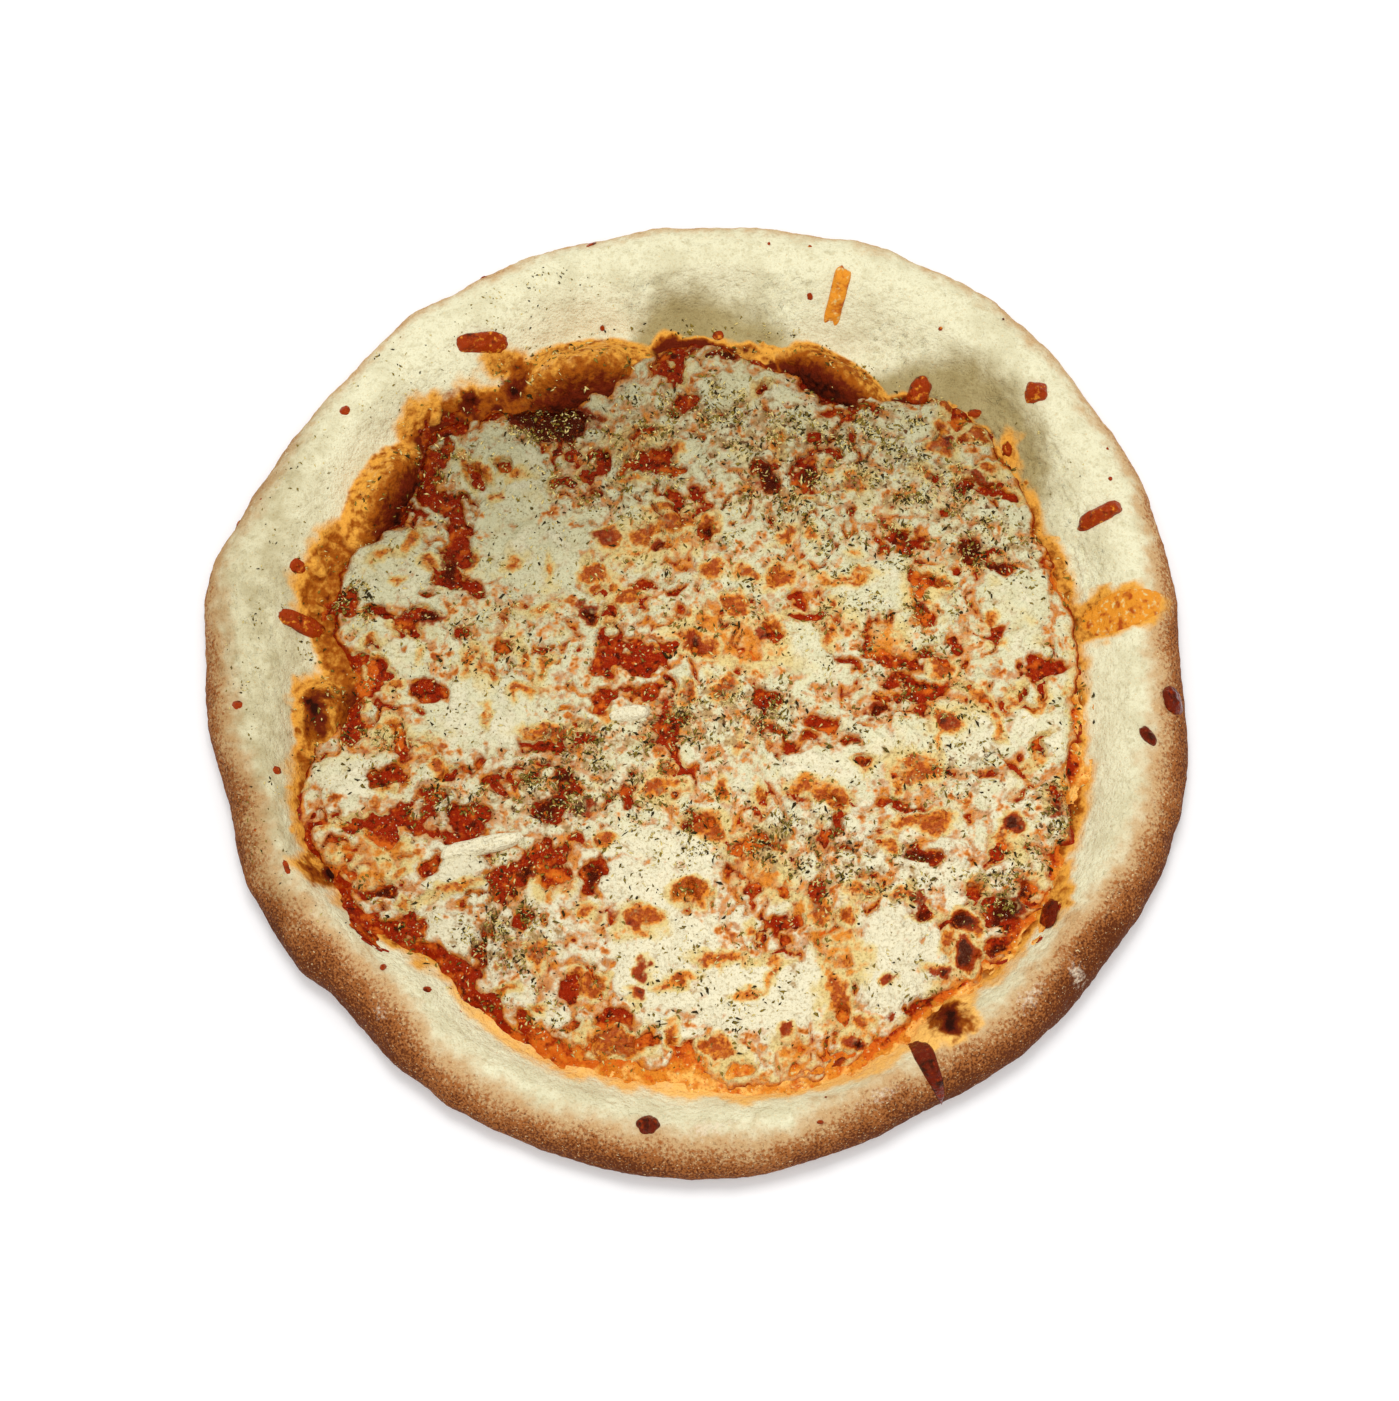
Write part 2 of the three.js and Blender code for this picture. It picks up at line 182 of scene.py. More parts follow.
# Windows in the cheese, down to the sauce.
SAUCE_POOLS = [
    # upper left
    (-84, 80, 8, 8), (-82, 77, 14, 9, 60), (-85, 66, 9, 16), (-78, 58, 12, 9), (-75, 50, 10, 9, -20),
    (-76, 42, 9, 12), (-78, 34, 13, 9, -20), (-72, 30, 10, 5, -10), (-71, 70, 3, 12, 20), (-61, 71, 4, 4),
    (-40, 75, 5, 4), (-31, 72, 5, 11, -30), (-35, 67, 5, 6), (-43, 65, 7, 4), (-15, 73, 13, 9, 10), (-9, 70, 7, 6),
    (-18, 82, 8, 4, 20), (-5, 92, 9, 6), (-6, 103, 4, 9, 20), (-46, 86.5, 29, 11, -3), (-97, 22, 12, 4, -5),
    (-88, 21, 12, 7, 20), (-90, 17, 9, 5), (-110, 26, 9, 9), (-113, 44, 7, 6), (-102, 12, 5, 3, 30),
    (-100, 3, 7, 10, -45), (-106, 7, 5, 6), (-61, 12, 6, 5, 20), (-34, 21, 7, 5), (-28, 22, 4, 8), (-28, 14, 7, 9),
    (-21, 8, 22, 7, -10), (-12, 4, 12, 6, 10), (-30, 5, 7, 7), (-15, 12, 14, 3, -12), (-18, 31, 7, 4),
    (-12, 43, 8, 4, 20), (-88, 54, 4, 6, 20), (-84, 45, 3, 4),
    # lower left
    (-83, -3, 12, 7, -10), (-100, -2, 7, 5), (-108, -9, 6, 22, 10), (-92, -20, 5, 12, 10), (-95, -31, 11, 6),
    (-81, -36, 6, 4), (-74, -29, 6, 3), (-67, -27, 2.5, 7), (-62, -33, 8, 1.8, -35), (-71, -42, 12, 8, 10),
    (-72, -48, 15, 4, 12), (-91, -42, 7, 6), (-96, -46, 9, 11), (-97, -66, 12, 5), (-82, -58, 6, 7), (-86, -75, 6, 8),
    (-55, -60, 22, 9, 12), (-64, -67, 16, 4, 18), (-43, -62, 10, 8), (-32, -61, 8, 12), (-46, -54, 13, 4, 8),
    (-53, -74, 6, 8), (-63, -78, 6, 4), (-66, -85, 4, 9), (-70, -91, 14, 5, -35), (-62, -100, 14, 5, -45),
    (-50, -107, 14, 4, -30), (-41, -113, 10, 4, -40), (-39, -96, 4.5, 9), (-25, -105, 12, 7), (-7, -119, 9, 5),
    (-1, -122, 6, 5), (-16, -111, 7, 5, 30), (-45, -40, 9, 9), (-41, -33, 8, 7), (-46, -20, 15, 3.5),
    (-35, -17, 5, 3), (-30, -6, 7, 9), (-9, -15, 12, 8, 10), (-19, -3, 16, 5), (-3, -67, 8, 4), (-3, -43, 5, 4),
    (-105, -46, 8, 3), (-99, -76, 4, 6, 30),
    # upper right
    (21, 67, 9, 13, 10), (33, 68, 7, 10), (43, 74, 3, 6, 45), (3, 49, 7, 7), (62, 48, 3.5, 7), (84, 43, 6, 9),
    (92, 38, 8, 2.5), (70, 32, 10, 8, -20), (69, 22, 7, 7), (31, 27, 4.5, 5), (34, 21, 12, 3.5, 5), (23, 16, 4.5, 8),
    (52, 14, 4, 11), (57, 19, 8, 3, 30), (55, 9, 12, 4, -20), (62, 6, 10, 5), (72, 8, 10, 4, -20), (79, 12, 5, 4),
    (83, 4, 3, 5), (61, 1, 8, 4), (45, 7, 9, 2, -35), (48, 4, 2.5, 5), (106, 4, 14, 7), (94, 62, 13, 3.5, -20),
    (84, 64, 4, 4), (72, 68, 9, 2.5, -35), (8, 109, 14, 4, 5), (21, 108, 8, 5), (44, 94, 26, 4, -22),
    (20, 97, 7, 2, 30), (96, 37, 5, 3),
    # lower right
    (20, -5, 8, 8), (38, -13, 9, 5, 10), (31, -19, 10, 3.5, 10), (44, -19, 6, 3), (54, -9, 9, 5, 20), (57, -5, 5, 5),
    (50, -26, 5, 4), (70, -3, 12, 7), (68, -9, 5, 5), (86, -5, 12, 2.5, -35), (100, -3, 3, 8, -20), (106, -4, 3, 8),
    (103, -9, 6, 2.5), (104, -22, 2.5, 8, -35), (108, -36, 9, 4, 15), (116, -14, 1.8, 10), (90, -54, 5, 7, -30),
    (60, -39, 12, 2.5), (67, -55, 13, 5), (15, -51, 14, 5), (10, -60, 12, 2.5, -40), (16, -66, 9, 4), (25, -66, 7, 4),
    (35, -66, 5, 8), (26, -77, 9, 3), (38, -50, 3, 5), (42, -44, 2.5, 9, 10), (32, -37, 10, 2.5, -20),
    (91, -72, 9, 9), (90, -83, 11, 6, 15), (99, -67, 5, 9, -30), (83, -67, 7, 6), (96, -77, 6, 7), (68, -73, 7, 4),
    (63, -101, 4, 2), (42, -104, 6, 6), (34, -120, 6, 2.5), (13, -120, 9, 4), (5, -125, 8, 3, -20),
]
# Orange oil and thin, stained cheese.
OIL_STAINS = [
    (-13, 46, 36, 17, 10), (8, 13, 40, 20, -15), (-20, 79, 18, 10, 10), (-47, 24, 9, 5, 30), (-95, -17, 14, 12),
    (-94, -54, 16, 14), (-100, -62, 16, 8), (-45, -63, 16, 12), (-26, -112, 26, 16), (-10, -94, 10, 4),
    (-34, -93, 8, 10), (-48, -87, 7, 9), (-20, -76, 17, 10), (5, -118, 24, 14), (28, -115, 14, 12), (40, -84, 12, 18),
    (38, -96, 6, 14), (42, -104, 10, 12), (48, -122, 22, 7, 15), (24, -125, 30, 7), (66, -108, 14, 12, 20),
    (82, -93, 16, 9, 30), (83, -86, 18, 12), (100, -66, 10, 16, -30), (95, -52, 14, 10), (45, -86, 13, 20),
    (-97, -53.5, 14, 13), (78, -95, 20, 10, 20), (82, 84, 18, 14), (66, -27, 16, 12), (76, -12, 14, 10),
    (76, 3, 12, 12), (69, 28, 13, 20, 5), (58, 13, 14, 14), (86, -6, 14, 8, -35), (40, 20, 16, 8), (78, 80, 12, 12),
    (85, 88, 14, 8, -20), (90, 66, 14, 9, -20), (97, 77, 6, 9), (-12, -34, 16, 10), (5, -46, 14, 8),
    (20, -62, 26, 14, -20), (15, -51, 20, 10), (33, -72, 14, 12), (-3, -67, 12, 8), (-85, -20, 10, 8),
    (-105, 0, 14, 12), (-110, -56, 18, 12), (-122, -46, 8, 10), (-60, 12, 10, 8), (-66, 5, 6, 10),
    (112, 42, 6, 20, 10), (116, -10, 4, 50), (113, -33, 8, 10),
]
# Cheese that the oven has browned.
TOASTED = [
    (-28, 47, 10, 7, 10), (-16, 48.5, 12, 7, 20), (-7, 52, 14, 6, 12), (3, 50, 8, 8), (-33, 36, 8, 8),
    (-27, 32, 5, 5), (-32, 29.5, 5, 4), (-11.5, 56, 14, 4), (-22, 27.5, 9, 6), (3.6, 36, 8, 7), (14, 34.5, 7, 4),
    (24.5, 34, 10, 8), (12, 25, 9, 8), (21.5, 30.5, 6, 3), (33, 21, 12, 4, 5), (23, 16, 6, 9), (-49, 23, 7, 4, 30),
    (-34, 21, 7, 5), (-27.5, 22, 4, 9), (-1, 12.3, 16, 8, -22), (8, -3, 9, 8, 30), (-4.5, -4, 6, 8), (-55, -4, 6, 4),
    (-63.8, 1.5, 4, 3), (-71.5, 6.5, 4, 10, -10), (-54, 7, 5, 5), (-48, 4.5, 3, 9, -30), (-65.4, -11, 2.5, 7),
    (-46, -16, 16, 5, 5), (-30, -10, 4, 8, 30), (12.5, -19, 5, 4), (-9.5, -28, 9, 5), (-13.5, -34.5, 9, 6),
    (-7, -33, 6, 4), (7.7, -34.7, 6, 8), (-4, -44, 6, 5), (19, -36, 5, 9), (3.5, -47, 14, 7, -40), (24, -51.5, 6, 6),
    (31, -33, 10, 5, 10), (40, -36, 14, 8, -10), (51, -26.5, 7, 5), (59.5, -33, 3, 10), (62, -45, 10, 5),
    (70, -44.5, 14, 7, 5), (58, -53, 6, 6), (25.6, -67, 6, 4), (36, -72, 9, 12), (45, -73, 8, 8), (50, -66, 12, 4),
    (61, -66.5, 9, 6), (16, -77.5, 5, 4), (-3.3, -66.6, 13, 7), (-17.5, -74, 13, 7), (-18.4, -78, 6, 5),
    (8, -87, 16, 4, -5), (21, -87, 6, 3), (-48.5, -84, 7, 9), (-34, -72, 5, 5), (-28.5, -51, 5, 5), (70.5, -30, 8, 6),
    (46, 34, 14, 2.5, 15), (41, 15, 5, 6), (-17, -90, 4, 6), (-112.8, 44.5, 8, 7), (-90, 45.5, 9, 4, 55),
    (-98, 41, 10, 3, 30), (-93.7, 33.5, 4, 3), (-84, 38, 6, 4), (-88, 20, 13, 6, 15), (-90, 17, 9, 4),
    (-102, 12.5, 5, 3, 20), (-106.5, 7, 5, 5), (-99.5, 4.5, 9, 8, 50), (-94.5, -1, 6, 4), (-103.5, -6.5, 4, 4),
    (-86, 9, 2, 5), (-94.5, -15.5, 4, 8), (-91, -17.5, 4, 7), (-78.5, -27, 7, 6), (-95.5, -34.5, 4, 3),
    (-106.5, -45.5, 10, 3), (-113.5, -45, 5, 3), (-121.5, -33, 4, 3), (-97, -46, 10, 10), (-91, -61, 8, 3, 40),
    (-74.5, -65.5, 16, 3, 20), (-89.5, -70, 5, 4), (-58, -97, 7, 4), (-79, -88.5, 8, 4, -30), (-47.5, -101.5, 5, 4),
    (-61.5, 71, 5, 5), (-73, 70, 3, 12, 20), (-68, 69, 7, 4, -50), (-56.5, 67.5, 6, 3), (-63.5, 60, 6, 2.5, 50),
    (-42, 75, 8, 4), (-35.5, 67, 5, 5), (-43.5, 65, 7, 3), (-17, 82, 14, 5, 10), (-7.7, 75.5, 6, 4),
    (-6, 103, 6, 9, 20), (9.5, 109, 13, 4, 5), (-21.5, 65.5, 9, 3), (-14, 43, 8, 4, 15), (-20.5, 41.5, 7, 3),
    (-58.5, 37.5, 4, 5), (-46.5, 36, 2, 6), (-72, 40, 5, 7), (19.5, 97.5, 7, 2.5, 35), (76.5, 84, 6, 5),
    (82, 86, 6, 7), (88, 80.5, 6, 6), (84, 79, 6, 5), (76, 77.5, 8, 7), (87.5, 88.5, 6, 6), (79, 91, 5, 5),
    (97, 77, 4, 8, 10), (97, 71, 4, 5), (83.5, 64.5, 5, 5), (81.5, 69.5, 6, 4), (71.5, 67.5, 8, 4, -25),
    (95, 62, 13, 5, -18), (91.5, 69.5, 6, 4), (24.5, 78.5, 3, 8, 10), (33.5, 59.5, 5, 3), (40, 70, 5, 6),
    (49, 65, 10, 7), (26.5, 48.5, 8, 5), (36, 48, 5, 5), (48.5, 41.5, 4, 3), (63, 50, 4, 4), (88.5, 39.5, 6, 5),
    (72.5, 32.5, 12, 8), (14, 35, 8, 5), (32, 37.5, 4, 4), (41, 33, 10, 2.5, -15), (49, 32, 6, 4, 20),
    (41, 24.5, 4, 4), (90, 20, 4, 5), (91.5, 12, 5, 2.5), (74.5, 4.5, 8, 6), (86.5, -5.5, 13, 4, -35),
    (91, -10, 4, 5), (96, -6, 3, 6, 20), (93, -15.5, 4, 9), (99, -3, 3, 7, -20), (106, -5, 3, 8), (102.5, -9, 6, 3),
    (113, -3, 2.5, 2), (104, -22, 3, 9, -30), (99, -27.5, 7, 3, 30), (76, -13, 9, 8), (72.5, -18.5, 2.5, 8),
    (66, -25.5, 9, 4), (65.5, -29.5, 12, 5), (95, -45.5, 8, 9), (93, -51, 4, 6), (90, -54, 7, 6), (67.5, -73, 8, 5),
    (80, -76, 11, 10), (74.5, -81.5, 6, 4), (80.5, -86, 9, 9), (71.5, -89.5, 8, 4), (56.5, -94, 3.5, 4),
    (108.5, -61, 3, 11), (48.5, -105.5, 7, 5), (110, -37, 10, 4, 20), (84, -66, 8, 8), (-7, -94, 12, 4, 10),
    (2, -87.5, 5, 5), (22, -91.5, 10, 3, 45), (14.5, -98, 7, 2.5, 20), (26.5, -108, 4.5, 3.5), (40, -94, 5, 12),
    (42, -101, 8, 12), (46, -112, 8, 6), (41.5, -117.5, 5, 4), (12.5, -120, 10, 5), (22, -127, 4, 3),
    (48.5, -124, 9, 4), (4.5, -114, 12, 9), (-8, -110, 5, 9, -20), (-32.5, -95, 10, 9), (-37, -91.5, 5, 6),
    (-19.5, -98.5, 4.5, 5), (-24.5, -113, 18, 12),
]
# Smooth pale cheese with no speckle.
PALE_AREAS = [
    (-58, 64, 26, 26), (-97, 38, 26, 26), (-93, 10, 14, 22, 40), (-66, -10, 34, 24), (-15, -60, 40, 26),
    (-10, -88, 34, 30), (60, -88, 26, 34), (20, -98, 44, 20), (60, -97, 22, 18), (98, 27, 20, 18), (100, 55, 10, 10),
    (40, 4, 18, 10), (85, -18, 30, 18), (105, -15, 20, 22), (60, -20, 22, 14), (72, -60, 20, 8), (100, 10, 14, 14),
    (30, 10, 20, 10), (-15, -108, 12, 12), (-72, -62, 20, 14), (-74, -80, 14, 10), (55, 30, 26, 24),
    (-50, 40, 34, 22), (-105, -30, 26, 12), (66, 78, 14, 16), (93, 68, 10, 5), (20, 97, 30, 10), (40, -28, 30, 12),
]
# Places where herbs lie thick, and how thick.
HERB_BEDS = [
    (22, 84, 34, 18, 0, 1.0), (52, 80, 30, 20, 0, 1.0), (70, 64, 40, 26, -10, 0.9), (64, 87, 20, 8, -20, 1.0),
    (90, 46, 34, 22, 0, 0.9), (100, 40, 12, 14, 0, 0.8), (5, 88, 22, 26, 0, 1.0), (-14, 88, 26, 20, 0, 0.8),
    (-50, 84, 30, 14, 0, 1.0), (-30, 70, 40, 34, 0, 0.6), (30, 64, 40, 30, 0, 0.8), (-15, 60, 60, 30, 0, 0.35),
    (-45, -35, 34, 26, 0, 1.0), (-30, -25, 44, 30, 0, 0.8), (5, -10, 44, 24, 0, 1.0), (22, -10, 20, 18, 0, 0.9),
    (-58, -80, 32, 24, 0, 1.0), (-75, -38, 34, 18, 0, 0.7), (108, -42, 18, 22, 0, 1.0), (90, -67, 12, 14, 0, 3.0),
    (96, -81, 9, 9, 0, 0.9), (30, -50, 40, 20, 0, 1.0), (50, -60, 60, 18, 0, 0.7), (78, -26, 34, 26, 0, 0.6),
    (-108, 24, 16, 18, 0, 0.9), (-110, 0, 20, 20, 0, 0.4), (-100, -22, 26, 20, 0, 0.6), (-5, -45, 50, 30, 0, 0.7),
    (-80, 70, 22, 40, 0, 0.35), (60, -5, 70, 40, 0, 0.35), (-60, 15, 60, 40, 0, 0.35), (60, 20, 60, 40, 0, 0.4),
    (-90, -78, 26, 18, 30, 0.7), (0, -95, 90, 40, 0, 0.22), (0, 30, 80, 60, 0, 0.25), (-55, -60, 40, 20, 0, 0.4),
    (45, 60, 110, 60, 0, 0.5), (-50, -100, 30, 16, -30, 0.5), (100, -55, 20, 20, 0, 0.6),
]
# The cheese is dusty under this many of them, which come first.
DUSTY_BEDS = 24
# The same for the bare rim.
RIM_HERB_BEDS = [
    (-55, 122, 60, 24, 25, 0.5), (-95, 92, 40, 40, 0, 0.45), (-122, 50, 26, 60, 0, 0.4), (-132, 5, 26, 60, 0, 0.5),
    (-128, -40, 22, 50, -15, 0.5), (-115, -60, 26, 30, 0, 0.5), (-106, -74, 30, 20, -40, 0.5),
    (-125, -20, 10, 50, 0, 0.9), (0, 118, 40, 6, 0, 0.6), (108, 75, 16, 40, 30, 0.12), (-60, 108, 40, 14, 30, 0.8),
]

# Single pieces: centre x and y, half length, half width, turn, thickness, squareness, height above the dough, and
# taper if any.
RIM_PIECES = {
    "cheese_shred_north_west": (-68.5, 109.5, 8, 3.1, 9, 2.4, 3.5, 0.1),
    "cheese_shred_west": (-122.8, 18.3, 6.8, 3.2, -14, 2.4, 2.6, 0.1),
    "cheese_shred_north": (43.8, 125.5, 7.6, 2.7, 72, 1.7, 5, 0.1),
    "cheese_chunk_north_east": (105.3, 91.5, 3.4, 3.2, 0, 2.4, 4, 0.1),
    "cheese_shred_east": (124, 51, 6.8, 2.8, 20, 2.6, 3, 0.1),
    "cheese_crumb_east": (135.8, -20.5, 3.6, 1.8, -55, 1.8, 2.6, 0.1),
    "toasted_bit_east": (144.3, -8.5, 4.6, 3.3, -72, 2.4, 2.4, 0.1),
    "toasted_cheese_patch": (130, 20.5, 12.5, 6, 8, 0.9, 2.2, -0.1),
    "cheese_knob_north_east": (69.6, 96, 5.2, 3.5, 72, 2.8, 2.6, 0.1),
    "toasted_finger_south_east": (105.3, -73.2, 5, 2.3, 76, 2.4, 2.6, 0.1),
    "sauce_drip_south_east": (67.6, -121, 10, 2.9, -65, 1.5, 2.6, 0.0, 0.35),
    "toasted_drop_south": (-15, -138, 3.3, 3.0, 0, 2.0, 2.0, 0.0),
}
PALE_PIECES = {
    "pale_shred_south_west": (-66, -52, 13, 2.7, 13, 2.6, 2.4, 5.0),
    "pale_shred_middle": (-21.5, -10.5, 6.5, 2.6, 12, 2.3, 2.2, 4.8),
}
# Cheese and sauce baked dark and glossy. The two under bubble A, at -56, 91 and -46, 86.5, are painted shadow.
DARK_SPOTS = [
    (95, -45.5, 7, 8), (80, -76, 9, 8), (80.5, -86, 8, 8), (76, -13, 7, 5), (-17, -90, 4, 6), (-1, 12.3, 11, 4, -22),
    (-19, -98, 4, 5, 10), (46, -112, 6, 5), (41, -117, 5, 4), (22, -127, 4, 3), (26, -108, 3, 3), (57, -94, 3, 4),
    (-61, 12, 5, 4, 20), (72, -91, 9, 5), (56, -105, 4, 3, 20), (66, -68, 6, 4), (66, -73, 8, 4, -20),
    (-96, -66, 10, 4), (78, 80, 5, 4), (92, -72, 10, 8, 30), (98, -66, 5, 10, -30), (-56, 91, 12, 6, 20),
    (-46, 86.5, 31, 13, -4), (-35, 22, 6, 8), (-30, 46, 8, 3), (-12, 43, 7, 4, 20), (-62, 60, 2, 2),
    (88, 66, 12, 3, -20), (20, 16, 5, 4), (8, 108, 12, 4, 5), (46, 94, 20, 4, -22), (-35, -40, 8, 6),
    (-45, -40, 6, 8), (-42, -32, 6, 5), (-52, -60, 10, 6), (-32, -61, 5, 8), (54, -9, 7, 4, 20), (15, -51, 11, 3),
    (67, -55, 12, 4), (50, -27, 4, 3), (70, 24, 4, 6), (-20, -76, 7, 3, -10), (91, -84, 9, 5, 20),
    (108, -40, 8, 4, 10), (-84, 20, 8, 5, 20), (-78, 36, 5, 10), (21, 67, 7, 10, 10), (33, 69, 5, 7), (84, 43, 6, 9),
    (62, 48, 3.5, 6), (92, 38, 7, 3), (3, 49, 5, 5),
]
# Small pale knobs of cheese, some of them in the sauce.
KNOBS = [
    (103, -5, 6, 6), (48.5, -32, 4, 4), (76, -7, 6, 4, 10), (-80, 68, 4, 6, -10), (-79, 62.5, 3, 2.6),
    (20, -122, 6, 5), (-24.5, -26, 4, 4), (-27.4, 15.5, 4, 5), (-21, 15.5, 6, 4.5, -20), (-15.5, 12.5, 6, 3.5, -30),
    (-23.3, 9.5, 3.5, 2.8), (-73, -76, 8, 5, 10), (-77, -84, 6, 5, 40), (-66, -68, 11, 4, 12), (-67, -58, 10, 4, 5),
    (-11, -117, 4, 10, -30), (-64, -46, 7, 3, -25), (-72, 57, 9, 3, -40), (-87, 52, 3, 6, 10), (32, 16, 8, 6),
    (76, 26, 6, 5, 30), (-40, -110, 9, 4, -40), (-46, -115, 8, 3, -20), (-57, 76, 5, 7, 10), (62, 4, 6, 3),
    (-84, 78, 5, 7, -20), (-34, -104, 6, 4), (-50, -61, 8, 3, 20), (-96, -24, 5, 4), (-99, -38, 9, 4, 30),
    (-70, 47, 4, 7), (-90, 60, 4, 5), (-11, 2.5, 10, 3.5, -10), (-18.5, 2, 8, 4, -20), (-30, 0, 6, 3, 30),
    (71, 36, 6, 3, 20), (88, -60, 7, 3, 30), (84, -80, 4, 3),
]
# Crumbs and spots on the rim.
RIM_CRUMBS = [
    (-34.5, 142.8, 4, 1.6, 35), (-69, 133, 1.8, 1.6), (-31, 118, 1.6, 1.4), (-144, 51, 2, 3), (-136, 56, 1.2, 1.6),
    (-140.3, -10.5, 3.6, 3.2), (-128, -30, 2.6, 3), (-123.3, -61.5, 2, 5.4, 20), (-133.5, -49.5, 1, 1.2),
    (-94, -91, 2, 2.4, -20), (-81, -97, 2.6, 2.4), (35.3, -137.5, 2.2, 1.3), (37, -130, 0.9, 0.9), (22, 141, 1, 1.2),
    (35, 140.3, 1.4, 0.8), (35, 125, 2.2, 1.8, -40), (76, 113.5, 1.5, 1.3), (96, 117, 0.9, 0.9),
    (127.3, 62, 1.5, 1.5), (127, 72.5, 1, 1), (6, 116, 4, 3.6), (-110.8, 85.2, 3.8, 3.4), (-124.3, 35.5, 5, 4.4),
    (87, 89, 5, 3.6), (97, 77, 3.6, 5), (116, -14, 1.6, 3.4), (65, -93.5, 1.4, 1.2),
]


def linear(hex_colour):
    """Turns an sRGB hex value to linear red, green and blue."""
    values = np.array([int(hex_colour[i:i + 2], 16) for i in (0, 2, 4)]) / 255
    return tuple(np.where(values <= 0.04045, values / 12.92, ((values + 0.055) / 1.055) ** 2.4))


def colour(name, description, hex_colour):
    """A colour that the user can change."""
    return FloatVectorProperty(
        name=name, description=description, default=linear(hex_colour), size=3, subtype="COLOR", min=0, max=1,
    )


def length(name, description, millimetres):
    """A length that the user can change, shown in the scene's units."""
    return FloatProperty(name=name, description=description, default=millimetres * MM, unit="LENGTH", precision=4)


def flecks(name, description, number):
    """A number of herb flecks that the user can change."""
    return IntProperty(name=name, description=description, default=number, min=1)


def power(name, description, watts):
    """The power of a light that the user can change."""
    return FloatProperty(name=name, description=description, default=watts, unit="POWER")


class PizzaSizes(bpy.types.PropertyGroup):
    """Sizes of the baked surfaces that the CAD part leaves open, and of the stage."""

    dough_lumps: length("Dough lumps", "Height of the soft lumps of the rim", 0.9)
    dough_pores: length("Dough pores", "Depth of the fine pores of the dough", 0.22)
    dough_wrinkles: length("Dough wrinkles", "Height of the floury wrinkles inside the rim", 0.8)
    sauce_pulp: length("Sauce pulp", "Height of the pulp of the sauce", 0.5)
    cheese_thickness: length("Cheese thickness", "Thickness of the melted cheese", 2.1)
    cheese_lumps: length("Cheese lumps", "Height of the lumps of the melted cheese", 1.1)
    shred_height: length("Shred height", "Height of the melted shreds that still show", 0.85)
    camera_distance: length("Camera distance", "From the camera to the middle of the pizza", 950)
    camera_lens: FloatProperty(name="Lens", description="Focal length", default=79.5, unit="CAMERA")
    dark_flecks: flecks("Dark flecks", "Dark green leaves of herb", 3700)
    olive_flecks: flecks("Olive flecks", "Olive leaves of herb", 5600)
    straw_flecks: flecks("Straw flecks", "Straw-coloured stalks of herb", 5000)
    key_power: power("Key light", "Power of the light behind", 4.0)
    fill_power: power("Fill light", "Power of the light over the near side", 1.6)
    sky_strength: FloatProperty(name="Sky", description="Strength of the light from all round", default=0.84)


